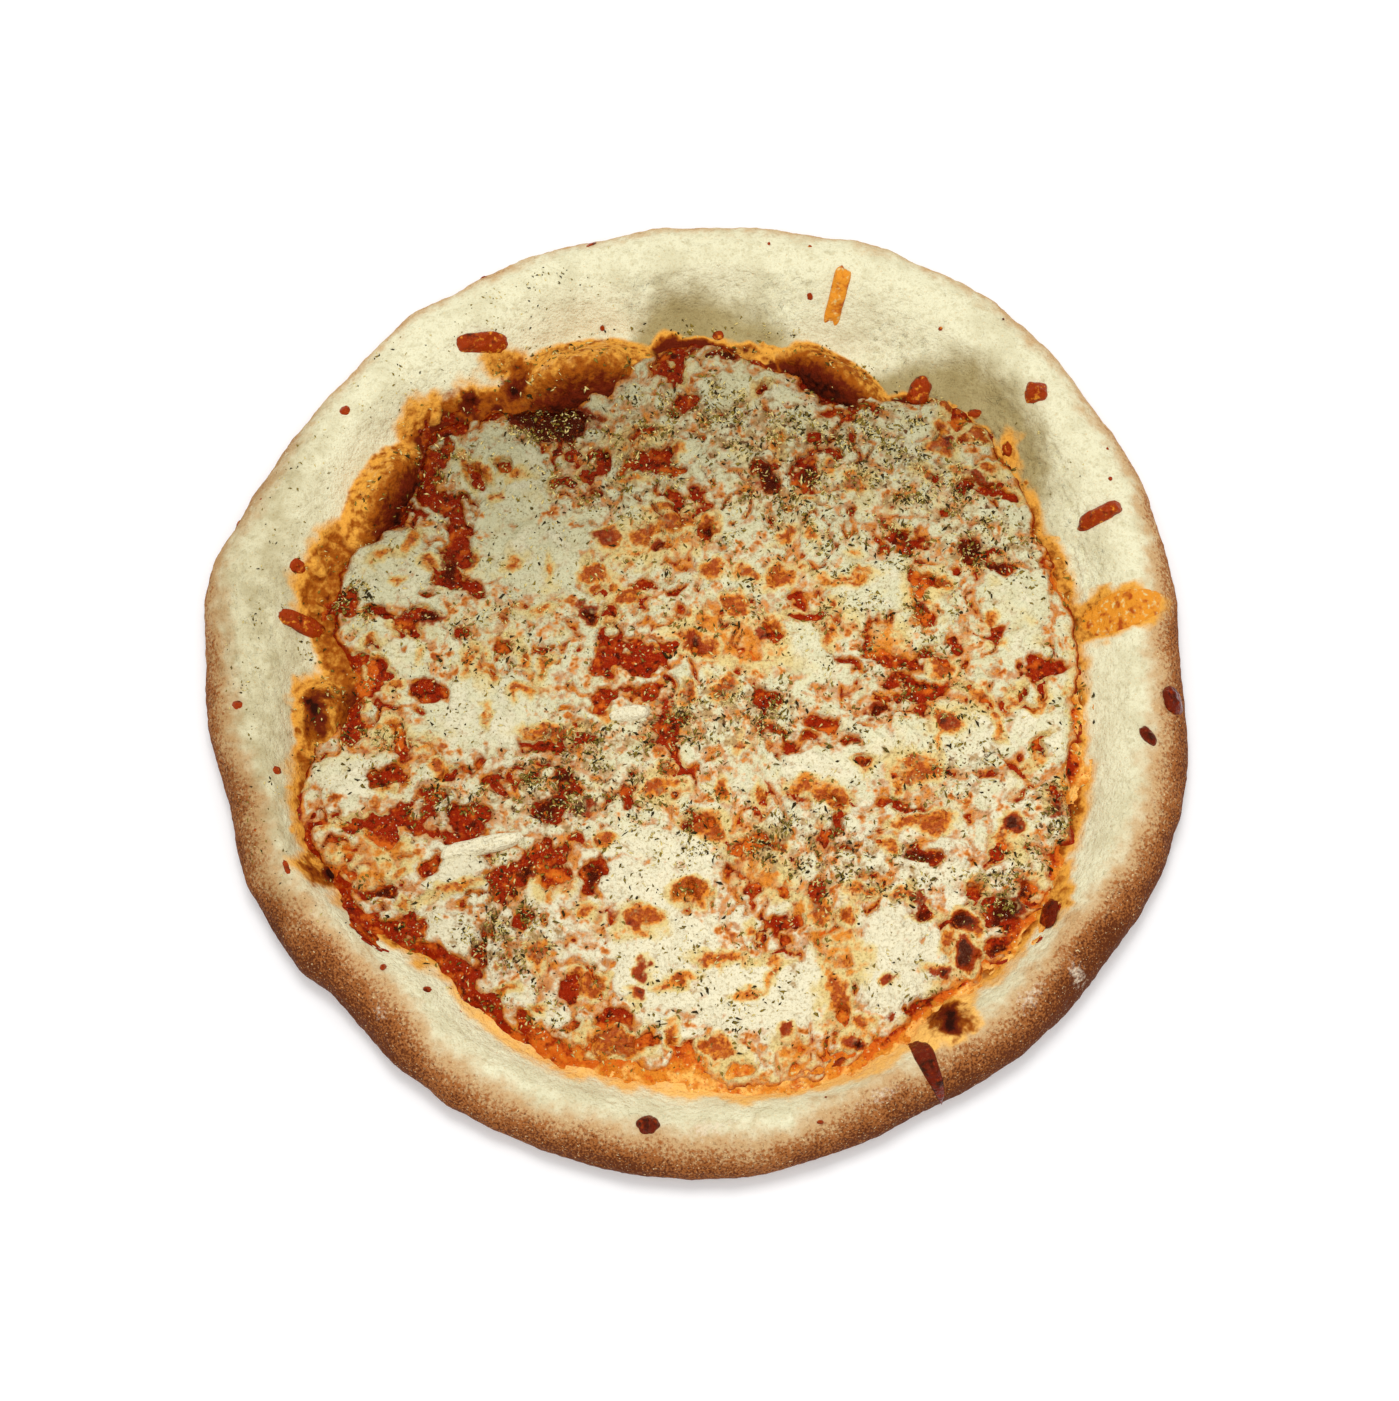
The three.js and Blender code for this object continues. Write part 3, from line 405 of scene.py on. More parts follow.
class PizzaColours(bpy.types.PropertyGroup):
    """Colours of the dough, the topping and the floor."""

    dough_cream: colour("Dough", "Unbrowned dough on top of the rim", "e8e2be")
    dough_grey: colour("Dough shade", "Slightly greyer dough", "d8d0aa")
    dough_tan: colour("Tan dough", "Where the bake begins", "cba574")
    dough_brown: colour("Brown dough", "The browned side", "a3622f")
    dough_dark: colour("Dark dough", "The darkest pores of the browned side", "5e2c10")
    dough_gold: colour("Golden dough", "Oiled dough beside the topping", "e8a440")
    dough_orange: colour("Orange dough", "Dough stained by sauce and oil", "9e500a")
    dough_red: colour("Red dough", "Dough soaked in sauce", "641c04")
    # Burnt dough, also used as painted shade on the inner sides of the bubbles and just below their feet.
    dough_char_and_shade: colour("Burnt dough", "The burnt inner sides of the bubbles", "2c0a02")
    # Painted shade, multiplied over the rim beside the far edge of the topping and along its left side.
    dough_painted_shade: colour("Dough dim", "Darkens the hollows of the rim", "beb092")
    flour: colour("Flour", "Flour left on the side", "eedcc0")
    # Dark sauce, also used for the painted shadow under bubble A.
    sauce_dark: colour("Dark sauce", "Sauce that lies deep", "420a02")
    sauce_red: colour("Red sauce", "Cooked tomato sauce", "961f03")
    sauce_orange: colour("Orange sauce", "Sauce mixed with oil", "d66418")
    # Painted shade, multiplied over the far and the left side of the topping.
    topping_painted_shade: colour("Topping dim", "Darkens the side of the topping that baked longer", "c3c2bc")
    cheese_thin: colour("Thin cheese", "Cheese so thin that the sauce shows through", "c89468")
    # Pale cheese, also used as painted light on the near half of the cheese and as painted highlights on the sauce.
    cheese_pale_and_painted_light: colour("Bright cheese", "Thick melted cheese", "eae1bf")
    cheese_cream: colour("Cream cheese", "Common melted cheese", "ddd8b0")
    cheese_shade: colour("Cheese shade", "Slightly deeper cheese", "cdc08e")
    cheese_oily: colour("Oily cheese", "Cheese in yellow oil", "e2ca86")
    cheese_orange: colour("Orange cheese", "Cheese stained orange", "e08828")
    cheese_toasted: colour("Toasted cheese", "Cheese browned by the oven", "ac4810")
    toast_gold: colour("Golden toast", "Toasted cheese on the rim", "e29028")
    toast_red: colour("Red toast", "Toasted cheese soaked in sauce", "983006")
    drip_brown: colour("Brown drip", "Sauce baked on to the dough", "641404")
    drip_black: colour("Black drip", "Its burnt side", "2e0a04")
    toast_dark: colour("Dark toast", "The darkest toasted bits", "4a1204")
    herb_dark: colour("Dark herb", "Dark green leaf", "34280e")
    herb_olive: colour("Olive herb", "Olive leaf", "86702a")
    herb_dust: colour("Herb dust", "Cheese under the finest herb dust", "b08c5a")
    herb_brown: colour("Wet herb", "Wet herb and sauce between the cheese", "6a4420")
    herb_straw: colour("Straw herb", "Dry stalk", "dcc67e")
    oil_gold: colour("Golden oil", "Yellow oil at the near edge of the topping", "fcc468")
    dough_fleck: colour("Dough flecks", "Light flecks of the browned side", "e2c898")
    dough_pore: colour("Dough pore", "Darkens the fine pores of the dough", "f3efe8")
    topping_pore: colour("Topping pore", "Darkens the finest hollows of the topping", "ddd6ca")
    floor: colour("Floor", "The studio floor", "ffffff")


def sizes():
    """The sizes group of the scene."""
    return bpy.context.scene.pizza_sizes


def colours():
    """The colours group of the scene."""
    return bpy.context.scene.pizza_colours


def smooth(low, high, values):
    """0 below low, 1 above high and an S-shaped cubic between them."""
    share = np.clip((values - low) / (high - low), 0, 1)
    return share * share * (3 - 2 * share)


def lattice_noise(points, seed):
    """Gradient noise: each corner of a unit lattice has a slope from a hash of its place, and a point
    takes the blend of the eight slopes around it. The result is about -1 to 1."""
    cell = np.floor(points)
    part = points - cell
    fade = part ** 3 * (part * (part * 6 - 15) + 10)
    cell = cell.astype(np.int64)
    mask = np.uint64(0xFFFFFFFF)
    total = np.zeros(len(points))
    for corner in product((0, 1), repeat=3):
        place = (cell + corner) @ np.array([73856093, 19349663, 83492791]) + seed * 40503
        mixed = (place & 0xFFFFFFFF).astype(np.uint64)
        for shift, factor in ((15, 2246822519), (13, 3266489917)):
            mixed = ((mixed ^ (mixed >> np.uint64(shift))) * np.uint64(factor)) & mask
        mixed ^= mixed >> np.uint64(16)
        slope = np.stack([(mixed >> np.uint64(s)) & np.uint64(1023) for s in (0, 10, 20)], axis=-1) / 511.5 - 1
        weight = np.prod(np.where(corner, fade, 1 - fade), axis=1)
        total += weight * np.sum(slope * (part - corner), axis=1)
    return 1.7 * total


def noise(x, y, z, size, seed, octaves=1):
    """Sum of octaves of gradient noise, each half as coarse and half as strong as the one before. size is
    the coarsest in millimetres."""
    x, y, z = np.broadcast_arrays(x, y, z)
    points = np.stack([x.ravel(), y.ravel(), z.ravel()], axis=-1) / size
    total = sum(0.5 ** i * lattice_noise(points * 2 ** i + 11.3 * i, seed + i) for i in range(octaves))
    return total.reshape(x.shape)


def lobes(table, angle):
    """Sum of rounded lobes round the pizza, each amount * exp(-(turn / half width)^2)."""
    total = np.zeros_like(angle)
    for middle, half_width, amount in table:
        turn = (np.degrees(angle) - middle + 180) % 360 - 180
        total += amount * np.exp(-(turn / half_width) ** 2)
    return total


def turned(x, y, centre_x, centre_y, turn):
    """Where points lie along and across a line through a centre, turned by radians."""
    c, s = np.cos(turn), np.sin(turn)
    return (x - centre_x) * c + (y - centre_y) * s, (y - centre_y) * c - (x - centre_x) * s


def across_ellipse(x, y, ellipse):
    """Where points lie along and across a turned ellipse, each 1 at its end. ellipse starts with centre x and
    y, half length, half width and turn."""
    centre_x, centre_y, half_length, half_width, turn = ellipse[:5]
    along, across = turned(x, y, centre_x, centre_y, np.radians(turn))
    return along / half_length, across / half_width


def halved(ellipse):
    """A table's ellipse, given by length and width, as centre x and y, half length, half width and turn."""
    centre_x, centre_y, long, wide, turn = (*ellipse, 0)[:5]
    return centre_x, centre_y, long / 2, wide / 2, turn


def depth_in(x, y, table):
    """How many millimetres points lie inside the nearest of a table's ellipses. It is negative outside them
    all, where it falls faster."""
    deepest = np.full(np.shape(x), -50.0)
    for ellipse in table:
        half = halved(ellipse)
        reach = np.hypot(*across_ellipse(x, y, half))
        deepest = np.maximum(deepest, (1 - reach) * min(half[2:4]) * np.where(reach > 1, 1.4, 1))
    return deepest


def outer_radius(angle):
    """Distance from the middle to the outer edge."""
    return PIZZA_RADIUS + lobes(OUTLINE_LOBES, angle)


def open_inset(angle):
    """Distance from the outer edge to the topping where no bubble is in the way."""
    return TOPPING_INSET + lobes(TOPPING_LOBES, angle)


def topping_radius(angle):
    """Distance from the middle to the edge of the topping."""
    table = np.array(TOPPING_EDGE)
    return np.interp(np.degrees(angle) % 360, table[:, 0], table[:, 1], period=360)


def dough_height(x, y):
    """Height of the dough: a quarter ellipse up to the crest, a cosine down to the floor, and domes
    (1 - q^2)^1.5 over the bubbles and swells."""
    angle = np.arctan2(y, x)
    inset = outer_radius(angle) - np.hypot(x, y)
    top = RIM_HEIGHT + lobes(HEIGHT_LOBES, angle)
    width = open_inset(angle) + COVERED_SLOPE
    q = np.clip((CREST_INSET - inset) / CREST_INSET, 0, 1)
    shoulder = WIDEST_HEIGHT + (top - WIDEST_HEIGHT) * np.sqrt(1 - q * q)
    share = np.clip((inset - CREST_INSET) / (width - CREST_INSET), 0, 1)
    slope = BASE_THICKNESS + (top - BASE_THICKNESS) * (1 + np.cos(np.pi * share)) / 2
    swell = 0
    for dome in BUBBLES + RIM_SWELLS:
        reach = np.hypot(*across_ellipse(x, y, dome))
        swell = swell + dome[5] * np.clip(1 - reach ** 2, 0, 1) ** 1.5
    return np.where(inset < CREST_INSET, shoulder, slope) + swell * smooth(2, 9, inset)


def dough_relief(x, y, z):
    """How far the real skin stands out of the smooth dough: soft lumps of two sizes, fine pores, ridged
    wrinkles in some places, and a steep inner side on each bubble. It fades out under the topping."""
    angle = np.arctan2(y, x)
    radius = np.hypot(x, y)
    bare = smooth(-6, 1, radius - topping_radius(angle))
    lumps = noise(x, y, z, 26, 1, 2) + 0.4 * noise(x, y, z, 9, 5)
    pores = noise(x, y, z, 2.6, 9, 2)
    ridges = 1 - 2 * abs(noise(x * 1.4, y, z, 3.4, 12, 2))
    wrinkled = smooth(-4, 3, depth_in(x, y, WRINKLES))
    relief = sizes().dough_lumps * lumps + sizes().dough_pores * pores
    relief += sizes().dough_wrinkles * wrinkled * ridges
    pitted = smooth(0.25, 0.75, noise(x, y, z, 3.1, 15))
    relief = relief / MM - 0.3 * pitted
    stained = smooth(-2, 3, topping_radius(angle) + lobes(STAIN_LOBES, angle) - radius)
    relief += stained * (noise(x, y, 0, 6.5, 17, 2) + 0.3 * noise(x, y, 0, 1.8, 19))
    relief += 1.5 * np.clip(depth_in(*warped(x, y), EDGE_LUMPS) / 2.5, 0, 1) ** 0.8
    return relief * bare


def bubble_lift(x, y):
    """How much higher the bubbles stand than the smooth dough: domes (1 - q^2)^0.6 that are fullest on the inner
    side, with a spongy skin."""
    lift = np.zeros(np.shape(x))
    for bubble in BUBBLES:
        along, across = across_ellipse(x + 1.5 * noise(x, y, 0, 9, 23), y + 1.2 * noise(x, y, 0, 7, 24), bubble)
        dome = np.clip(1 - along ** 2 - across ** 2, 0, 1) ** 0.6 * smooth(1.0, -0.3, across)
        lift += bubble[7] * dome + 0.55 * np.minimum(2 * dome, 1) * noise(x, y, 0, 3.0, 25, 2)
    return lift


def bare_top(x, y):
    """Height of the dough's real skin seen from above."""
    smooth_top = dough_height(x, y) + bubble_lift(x, y)
    return smooth_top + dough_relief(x, y, smooth_top)


def warped(x, y):
    """Points shifted by noise, so that pools and edges get ragged outlines."""
    shift = [2.5 * noise(x, y, 0, 7.5, seed) + 1.1 * noise(x, y, 0, 2.8, seed + 3, 2) for seed in (21, 31)]
    return x + shift[0], y + shift[1]


def dimmed(x, y):
    """How far the topping is darkened by painted shade, which grows towards the far and the left side."""
    return 0.65 * smooth(-10, 100, y) + 0.35 * smooth(20, -70, x)


def busy(x, y):
    """1 where the topping is mottled, 0 on smooth pale cheese."""
    pale = smooth(-3, 3, depth_in(x, y, PALE_AREAS))
    return 1 - 0.9 * pale


def cheese_edge(angle, x, y):
    """Distance from the middle to the ragged edge of the cheese."""
    return topping_radius(angle) - 1.0 + lobes(CHEESE_LOBES, angle) + 3 * noise(x, y, 0, 12, 47, 3)


def mottle(x, y):
    """Uneven noise that makes the cheese thick and thin."""
    return noise(x, y, 0, 6.5, 41, 3)


def shred_relief(x, y):
    """Melted shreds that still show: round-topped capsules at random places and turns, the highest wins."""
    rng = np.random.default_rng(SHRED_SEED)
    best = np.zeros(np.shape(x))
    for _ in range(SHRED_COUNT):
        radius, angle = SHRED_REACH * np.sqrt(rng.random()), 2 * np.pi * rng.random()
        turn, half, wide = np.pi * rng.random(), rng.uniform(1.5, 7), rng.uniform(1.3, 2.5)
        along, across = turned(x, y, radius * np.cos(angle), radius * np.sin(angle), turn)
        reach = np.hypot(np.maximum(abs(along) - half, 0), across) / wide
        best = np.maximum(best, np.clip(1 - reach * reach, 0, 1) ** 0.7)
    return best


def window_depth(x, y, shreds):
    """How many millimetres points lie inside the windows of the cheese: the listed pools, small random ones
    and a net of gaps where the topping is mottled, and everything outside the ragged edge of the cheese.
    Shreds and knobs bridge them."""
    warp = warped(x, y)
    crowded = busy(x, y)
    pools = depth_in(*warp, SAUCE_POOLS) + 0.8 * noise(x, y, 0, 3.2, 45, 2)
    spots = 4.0 * (mottle(x, y) - 1.3 + 0.5 * crowded)
    gaps = 2.2 * crowded - 2.4 - 6 * abs(noise(x, y, 0, 10, 43, 3)) + 1.6 * noise(x, y, 0, 17, 44)
    window = np.maximum(np.maximum(pools, spots), gaps) - 1.5 * shreds
    window = np.minimum(window, 0.5 - 2 * depth_in(*warp, KNOBS))
    outside = np.hypot(x, y) - cheese_edge(np.arctan2(y, x), x, y)
    return np.maximum(window, outside)


def sauce_inside(x, y):
    """How far points lie inside the ragged edge of the sauce."""
    return topping_radius(np.arctan2(y, x)) - 0.6 + 2.2 * noise(x, y, 0, 11, 51, 3) - np.hypot(x, y)


def sauce_height(x, y):
    """Height of the sauce: a bed on the dough with pulp, thinning to nothing at its ragged edge."""
    inside = sauce_inside(x, y)
    body = SAUCE_TOP * np.sqrt(1 - (1 - np.clip(inside / SAUCE_ROUNDING, 0, 1)) ** 2) + 0.9 * np.clip(inside, -1, 0)
    pulp = noise(x, y, 0, 6, 55, 2) + 0.5 * noise(x, y, 0, 2.2, 58, 2)
    return dough_height(x, y) + body + sizes().sauce_pulp / MM * pulp * np.clip(inside / 3, 0, 1)


def cheese_relief(x, y, shreds):
    """How many millimetres the cheese stands over or under its common thickness: lumps that follow the
    mottle, softer lumps, melted shreds and knobs, and blisters where it is browned."""
    warp = warped(x, y)
    lumps = 0.55 * noise(x, y, 0, 13, 61, 2) - 0.85 * mottle(x, y)
    knobs = np.clip(depth_in(*warp, KNOBS) / 1.5, 0, 1) ** 0.5
    browned = smooth(-1, 2, depth_in(*warp, TOASTED)) * (0.4 + noise(x, y, 0, 3, 67, 2))
    heights = sizes().cheese_lumps * lumps + sizes().shred_height * np.maximum(shreds, knobs)
    thick = 0.6 * smooth(-3, 3, depth_in(*warp, PALE_AREAS))
    return heights / MM + 0.6 * browned + thick


def cheese_height(x, y, window, relief):
    """Height of the melted cheese: its bed and relief, falling by a quarter ellipse to the sauce at each window
    and passing under it inside. The whole thins towards the edge of the topping."""
    body = np.maximum(sizes().cheese_thickness / MM + relief, 0.3)
    edge = np.sqrt(1 - (1 - np.clip(-window / CHEESE_ROUNDING, 0, 1)) ** 2)
    foot = CHEESE_FOOT - 1.4 * smooth(8, 0, topping_radius(np.arctan2(y, x)) - np.hypot(x, y))
    return dough_height(x, y) + foot + np.where(window < 0, body * edge, -2.0 * np.clip(window / 1.5, 0, 1))


def topping_top(x, y):
    """Height of whatever is on top."""
    shreds = shred_relief(*warped(x, y))
    cheese = cheese_height(x, y, window_depth(x, y, shreds), cheese_relief(x, y, shreds))
    return np.maximum(np.maximum(bare_top(x, y), sauce_height(x, y)), np.where(np.hypot(x, y) < 135, cheese, 0))


def grid_faces(rows, columns, closed):
    """Quads of a grid of points, the columns closed to a ring if asked."""
    row = np.arange(rows - 1)[:, None]
    column = np.arange(columns if closed else columns - 1)[None, :]
    after = (column + 1) % columns
    corners = [row * columns + column, row * columns + after, (row + 1) * columns + after, (row + 1) * columns + column]
    return np.stack(np.broadcast_arrays(*corners), axis=-1).reshape(-1, 4)


def disc_grid(count):
    """Points of a square grid laid on a unit disc with equal areas: the larger coordinate is the radius, and
    the angle is an eighth of a turn times the ratio of the two."""
    u, v = np.meshgrid(np.linspace(-1, 1, count), np.linspace(-1, 1, count))
    wide = abs(u) > abs(v)
    radius = np.where(wide, u, v)
    ratio = np.where(wide, v, u) / np.where(radius == 0, 1, radius)
    angle = np.where(wide, np.pi / 4 * ratio, np.pi / 2 - np.pi / 4 * ratio)
    return radius * np.cos(angle), radius * np.sin(angle)


def make_piece(name, points, faces, material, slot=None, replaces=(), values=None, uv=None):
    """Puts points in millimetres and faces, a list of index arrays, into a mesh object that rides on the one body.
    values are named numbers for each point, and uv is the place of each face corner on the bake's map."""
    mesh = bpy.data.meshes.new(name)
    mesh.from_pydata((points * MM).tolist(), [], sum((block.tolist() for block in faces), []))
    mesh.shade_smooth()
    for key, numbers in (values or {}).items():
        mesh.attributes.new(key, "FLOAT", "POINT").data.foreach_set("value", np.ascontiguousarray(numbers, np.float32))
    if uv is not None:
        layer = mesh.uv_layers.new(name="OFBake")
        layer.uv.foreach_set("vector", np.ascontiguousarray(uv.ravel(), np.float32))
    mesh.materials.append(material)
    piece = bpy.data.objects.new(name, mesh)
    bpy.context.scene.collection.objects.link(piece)
    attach(piece, "root")
    if replaces:
        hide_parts(*replaces)
    return piece


def node(tree, kind, inputs=None, output=0, **settings):
    """Adds a node with its settings, gives each input a value or a link, and returns one of its outputs."""
    made = tree.nodes.new(kind)
    for key, value in settings.items():
        setattr(made, key, value)
    for key, value in (inputs or {}).items():
        if isinstance(value, bpy.types.NodeSocket):
            tree.links.new(value, made.inputs[key])
        else:
            made.inputs[key].default_value = value
    return made.outputs[output]


def food_material(name, base, layers, roughness, bumps, specular=0.4, glint=(1, 1, 1)):
    """A food surface. base is a colour. Each layer is (value, colour, low, high, grain, grain size): the colour
    comes in where the value, roughened by grain of that size in millimetres, rises from low to high. A value
    is the name of a number on the mesh, or None for grain alone, and a layer that ends with MULTIPLY darkens.
    roughness is its least and most, bumps are (height, size) in millimetres, and glint tints the highlights."""
    material = bpy.data.materials.new(name)
    material.use_nodes = True
    tree = material.node_tree
    shader = tree.nodes["Principled BSDF"]
    place = node(tree, "ShaderNodeTexCoord", output="Object")

    def mottled(millimetres, roughness=0.5):
        inputs = {"Vector": place, "Scale": 1 / (millimetres * MM), "Detail": 2.0, "Roughness": roughness}
        return node(tree, "ShaderNodeTexNoise", inputs)

    shade = (*base, 1)
    for value, tint, low, high, grain, size, *blend in layers:
        # The noise runs from 0 to 1, so this is grain * (2 * noise - 1).
        inputs = {0: mottled(size, 0.55), 1: 2 * grain, 2: -grain}
        amount = node(tree, "ShaderNodeMath", inputs, operation="MULTIPLY_ADD")
        if value:
            number = node(tree, "ShaderNodeAttribute", output="Fac", attribute_name=value)
            amount = node(tree, "ShaderNodeMath", {0: amount, 1: number}, operation="ADD")
        inputs = {"Value": amount, "From Min": low, "From Max": high}
        mask = node(tree, "ShaderNodeMapRange", inputs, interpolation_type="SMOOTHSTEP")
        inputs = {MIX_FACTOR: mask, MIX_A: shade, MIX_B: (*tint, 1)}
        kind = blend[0] if blend else "MIX"
        shade = node(tree, "ShaderNodeMix", inputs, MIX_RESULT, data_type="RGBA", blend_type=kind)
    if layers:
        tree.links.new(shade, shader.inputs["Base Color"])
    else:
        shader.inputs["Base Color"].default_value = shade
    inputs = {"Value": mottled(3), "From Min": 0.3, "From Max": 0.7, "To Min": roughness[0], "To Max": roughness[1]}
    tree.links.new(node(tree, "ShaderNodeMapRange", inputs), shader.inputs["Roughness"])
    normal = None
    for height, size in bumps:
        inputs = {"Height": mottled(size), "Distance": height * MM, "Strength": 1.0}
        if normal:
            inputs["Normal"] = normal
        normal = node(tree, "ShaderNodeBump", inputs)
    if normal:
        tree.links.new(normal, shader.inputs["Normal"])
    shader.inputs["Specular IOR Level"].default_value = specular
    shader.inputs["Specular Tint"].default_value = (*glint, 1)
    return material


def wheat_dough():
    """Baked wheat dough, pulled by hand and baked on a hot floor: dry and matt, cream where the heat was
    mild, with a speckled tan-brown side, and gold to burnt where oil reached it, with painted shade on the
    inner sides of the bubbles and on the rim beside the far edge of the topping."""
    c = colours()
    return food_material(
        "wheat_dough_baked", c.dough_cream,
        [
            (None, c.dough_grey, -0.1, 0.3, 0.7, 12),
            (None, c.dough_grey, 0.0, 0.4, 1.0, 2.2),
            ("baked", c.dough_tan, -5, 3, 4.5, 3.5),
            ("baked", c.dough_brown, 1.5, 8, 9.0, 1.1),
            ("baked", c.dough_dark, 5, 14, 16, 0.7),
            ("under", c.dough_brown, 0.2, 1.6, 3.0, 26),
            ("under", c.dough_dark, 1.2, 2.8, 3.4, 9),
            (None, c.dough_fleck, 0.28, 0.5, 1.0, 0.75),
            ("flour", c.flour, 0.5, 6.0, 5.0, 1.2),
            # Painted shade on the rim beside the far edge of the topping and along its left side.
            ("rim_shade", c.dough_painted_shade, -2, 9, 3.0, 6, "MULTIPLY"),
            ("stained", c.dough_gold, -2.8, 0.9, 1.2, 3.0),
            ("stained", c.dough_orange, 0.3, 3.0, 3.0, 2.4),
            ("stained", c.dough_red, 2.6, 5.4, 4, 2.4),
            ("oiled", c.oil_gold, -3.8, 1.4, 1.6, 3.0),
            ("golden", c.dough_gold, 0.0, 0.7, 0.5, 4),
            ("golden", c.dough_orange, 0.4, 1.35, 1.6, 2.6),
            # Burnt spots; on the inner side of each bubble and just past its foot, burn together with painted shade.
            ("burnt", c.dough_orange, -4.4, -0.9, 3.4, 2.4),
            ("burnt", c.dough_red, -2.0, 0.9, 2.8, 2.0),
            ("burnt", c.dough_char_and_shade, 1.0, 3.2, 2.4, 2.0),
            (None, c.dough_pore, 0.02, 0.4, 1.0, 0.8, "MULTIPLY"),
        ],
        (0.6, 0.8), [(0.5, 0.8), (0.8, 2.2)], 0.06,
    )


def tomato_sauce():
    """Cooked tomato pulp under a film of oil: wet and glossy, dark in its dark spots and in the painted shadow
    under bubble A, with painted highlights.
    """
    c = colours()
    return food_material(
        "tomato_pulp_cooked", c.sauce_red,
        [
            (None, c.sauce_orange, 0.02, 0.4, 0.9, 4.2),
            (None, c.sauce_dark, 0.0, 0.4, 1.0, 2.6),
            # Dark spots, and under bubble A painted shadow.
            ("deep", c.sauce_dark, -0.8, 1.6, 1.4, 2.4),
            ("oily", c.sauce_orange, 0.4, 2.0, 3.6, 3.0),
            ("oily", c.cheese_orange, 1.8, 3.2, 3.6, 3.4),
            ("oily", c.oil_gold, 2.7, 3.7, 2.0, 4.0),
            (None, c.sauce_orange, 0.2, 0.5, 1.0, 1.4),
            # Yellow specks: crumbs of cheese and painted highlights of oil. The finer white specks after them are
            # painted highlights.
            (None, c.cheese_oily, 0.32, 0.5, 1.0, 1.9),
            (None, c.cheese_pale_and_painted_light, 0.36, 0.5, 1.0, 0.9),
            # Painted shade on the far and the left side of the sauce.
            ("far", c.topping_painted_shade, 0, 1, 0.1, 8, "MULTIPLY"),
            (None, c.topping_pore, 0.0, 0.4, 1.0, 0.8, "MULTIPLY"),
        ],
        (0.1, 0.3), [(0.5, 0.9), (0.9, 2.5)], 0.2, (1, 0.3, 0.12),
    )


def mozzarella():
    """Grated mozzarella melted to one sheet: smooth, soft and oily, so thin at its edges that the sauce shows
    through, stained orange by oil and browned on its high spots."""
    c = colours()
    return food_material(
        "mozzarella_melted", c.cheese_cream,
        [
            (None, c.cheese_shade, -0.05, 0.35, 0.6, 6),
            (None, c.cheese_oily, 0.05, 0.5, 0.8, 9),
            # Pale cheese and shreds, with painted light that brightens the near half.
            ("bright", c.cheese_pale_and_painted_light, 0.1, 0.7, 0.45, 3.0),
            ("speckle", c.cheese_thin, 0.28, 0.6, 1.2, 5.0),
            ("relief", c.cheese_oily, 0.0, -1.4, 0.9, 2.6),
            ("oily", c.cheese_oily, -2.0, 0.6, 2.0, 3.0),
            ("speckle", c.cheese_orange, 0.16, 0.52, 1.0, 4.0),
            ("speckle", c.cheese_toasted, 0.34, 0.66, 1.0, 4.0),
            ("window", c.cheese_thin, -2.2, -0.3, 1.8, 3.2),
            ("window", c.cheese_orange, -1.6, 0.0, 1.6, 3.2),
            ("window", c.sauce_red, -0.7, 0.1, 0.6, 2.0),
            ("oily", c.cheese_orange, 0.5, 2.1, 3.6, 4.5),
            ("oily", c.cheese_toasted, 2.0, 3.4, 3.6, 4.5),
            ("toasted", c.cheese_oily, -2.0, -0.2, 1.6, 3.0),
            ("toasted", c.cheese_orange, -0.6, 1.0, 1.6, 2.4),
            ("toasted", c.cheese_toasted, 0.2, 1.7, 2.4, 1.8),
            # Dark toasted spots, and under bubble A painted shadow.
            ("dark", c.toast_red, -0.6, 0.6, 1.2, 2.0),
            ("dark", c.toast_dark, 0.7, 2.1, 1.8, 2.0),
            ("herby", c.herb_dust, 0.3, 1.1, 1.7, 3.0),
            ("herby", c.herb_brown, 0.66, 1.1, 1.7, 1.8),
            # Painted shade on the far and the left side of the cheese.
            ("far", c.topping_painted_shade, 0, 1, 0.1, 8, "MULTIPLY"),
            (None, c.topping_pore, 0.0, 0.4, 1.0, 0.9, "MULTIPLY"),
        ],
        (0.18, 0.38), [(0.4, 0.8), (1.4, 2.6)], 0.25, (1, 0.7, 0.42),
    )


def toasted_cheese(name, base, deep, light):
    """Cheese toasted hard in oil and sauce: bubbled, glossy, red-brown to nearly black in its hollows."""
    return food_material(
        name, base,
        [
            (None, light, 0.08, 0.45, 0.9, 1.8),
            (None, deep, 0.02, 0.45, 1.0, 3.2),
        ],
        (0.15, 0.35), [(0.35, 0.8), (0.7, 2)], 0.22, (1, 0.55, 0.28),
    )


def dried_herb(name, base, other):
    """Dried oregano, rubbed to leaf bits and stalks: matt and papery."""
    return food_material(name, base, [("shade", other, 0.55, 1.3, 0.2, 1)], (0.6, 0.8), [], 0.06)


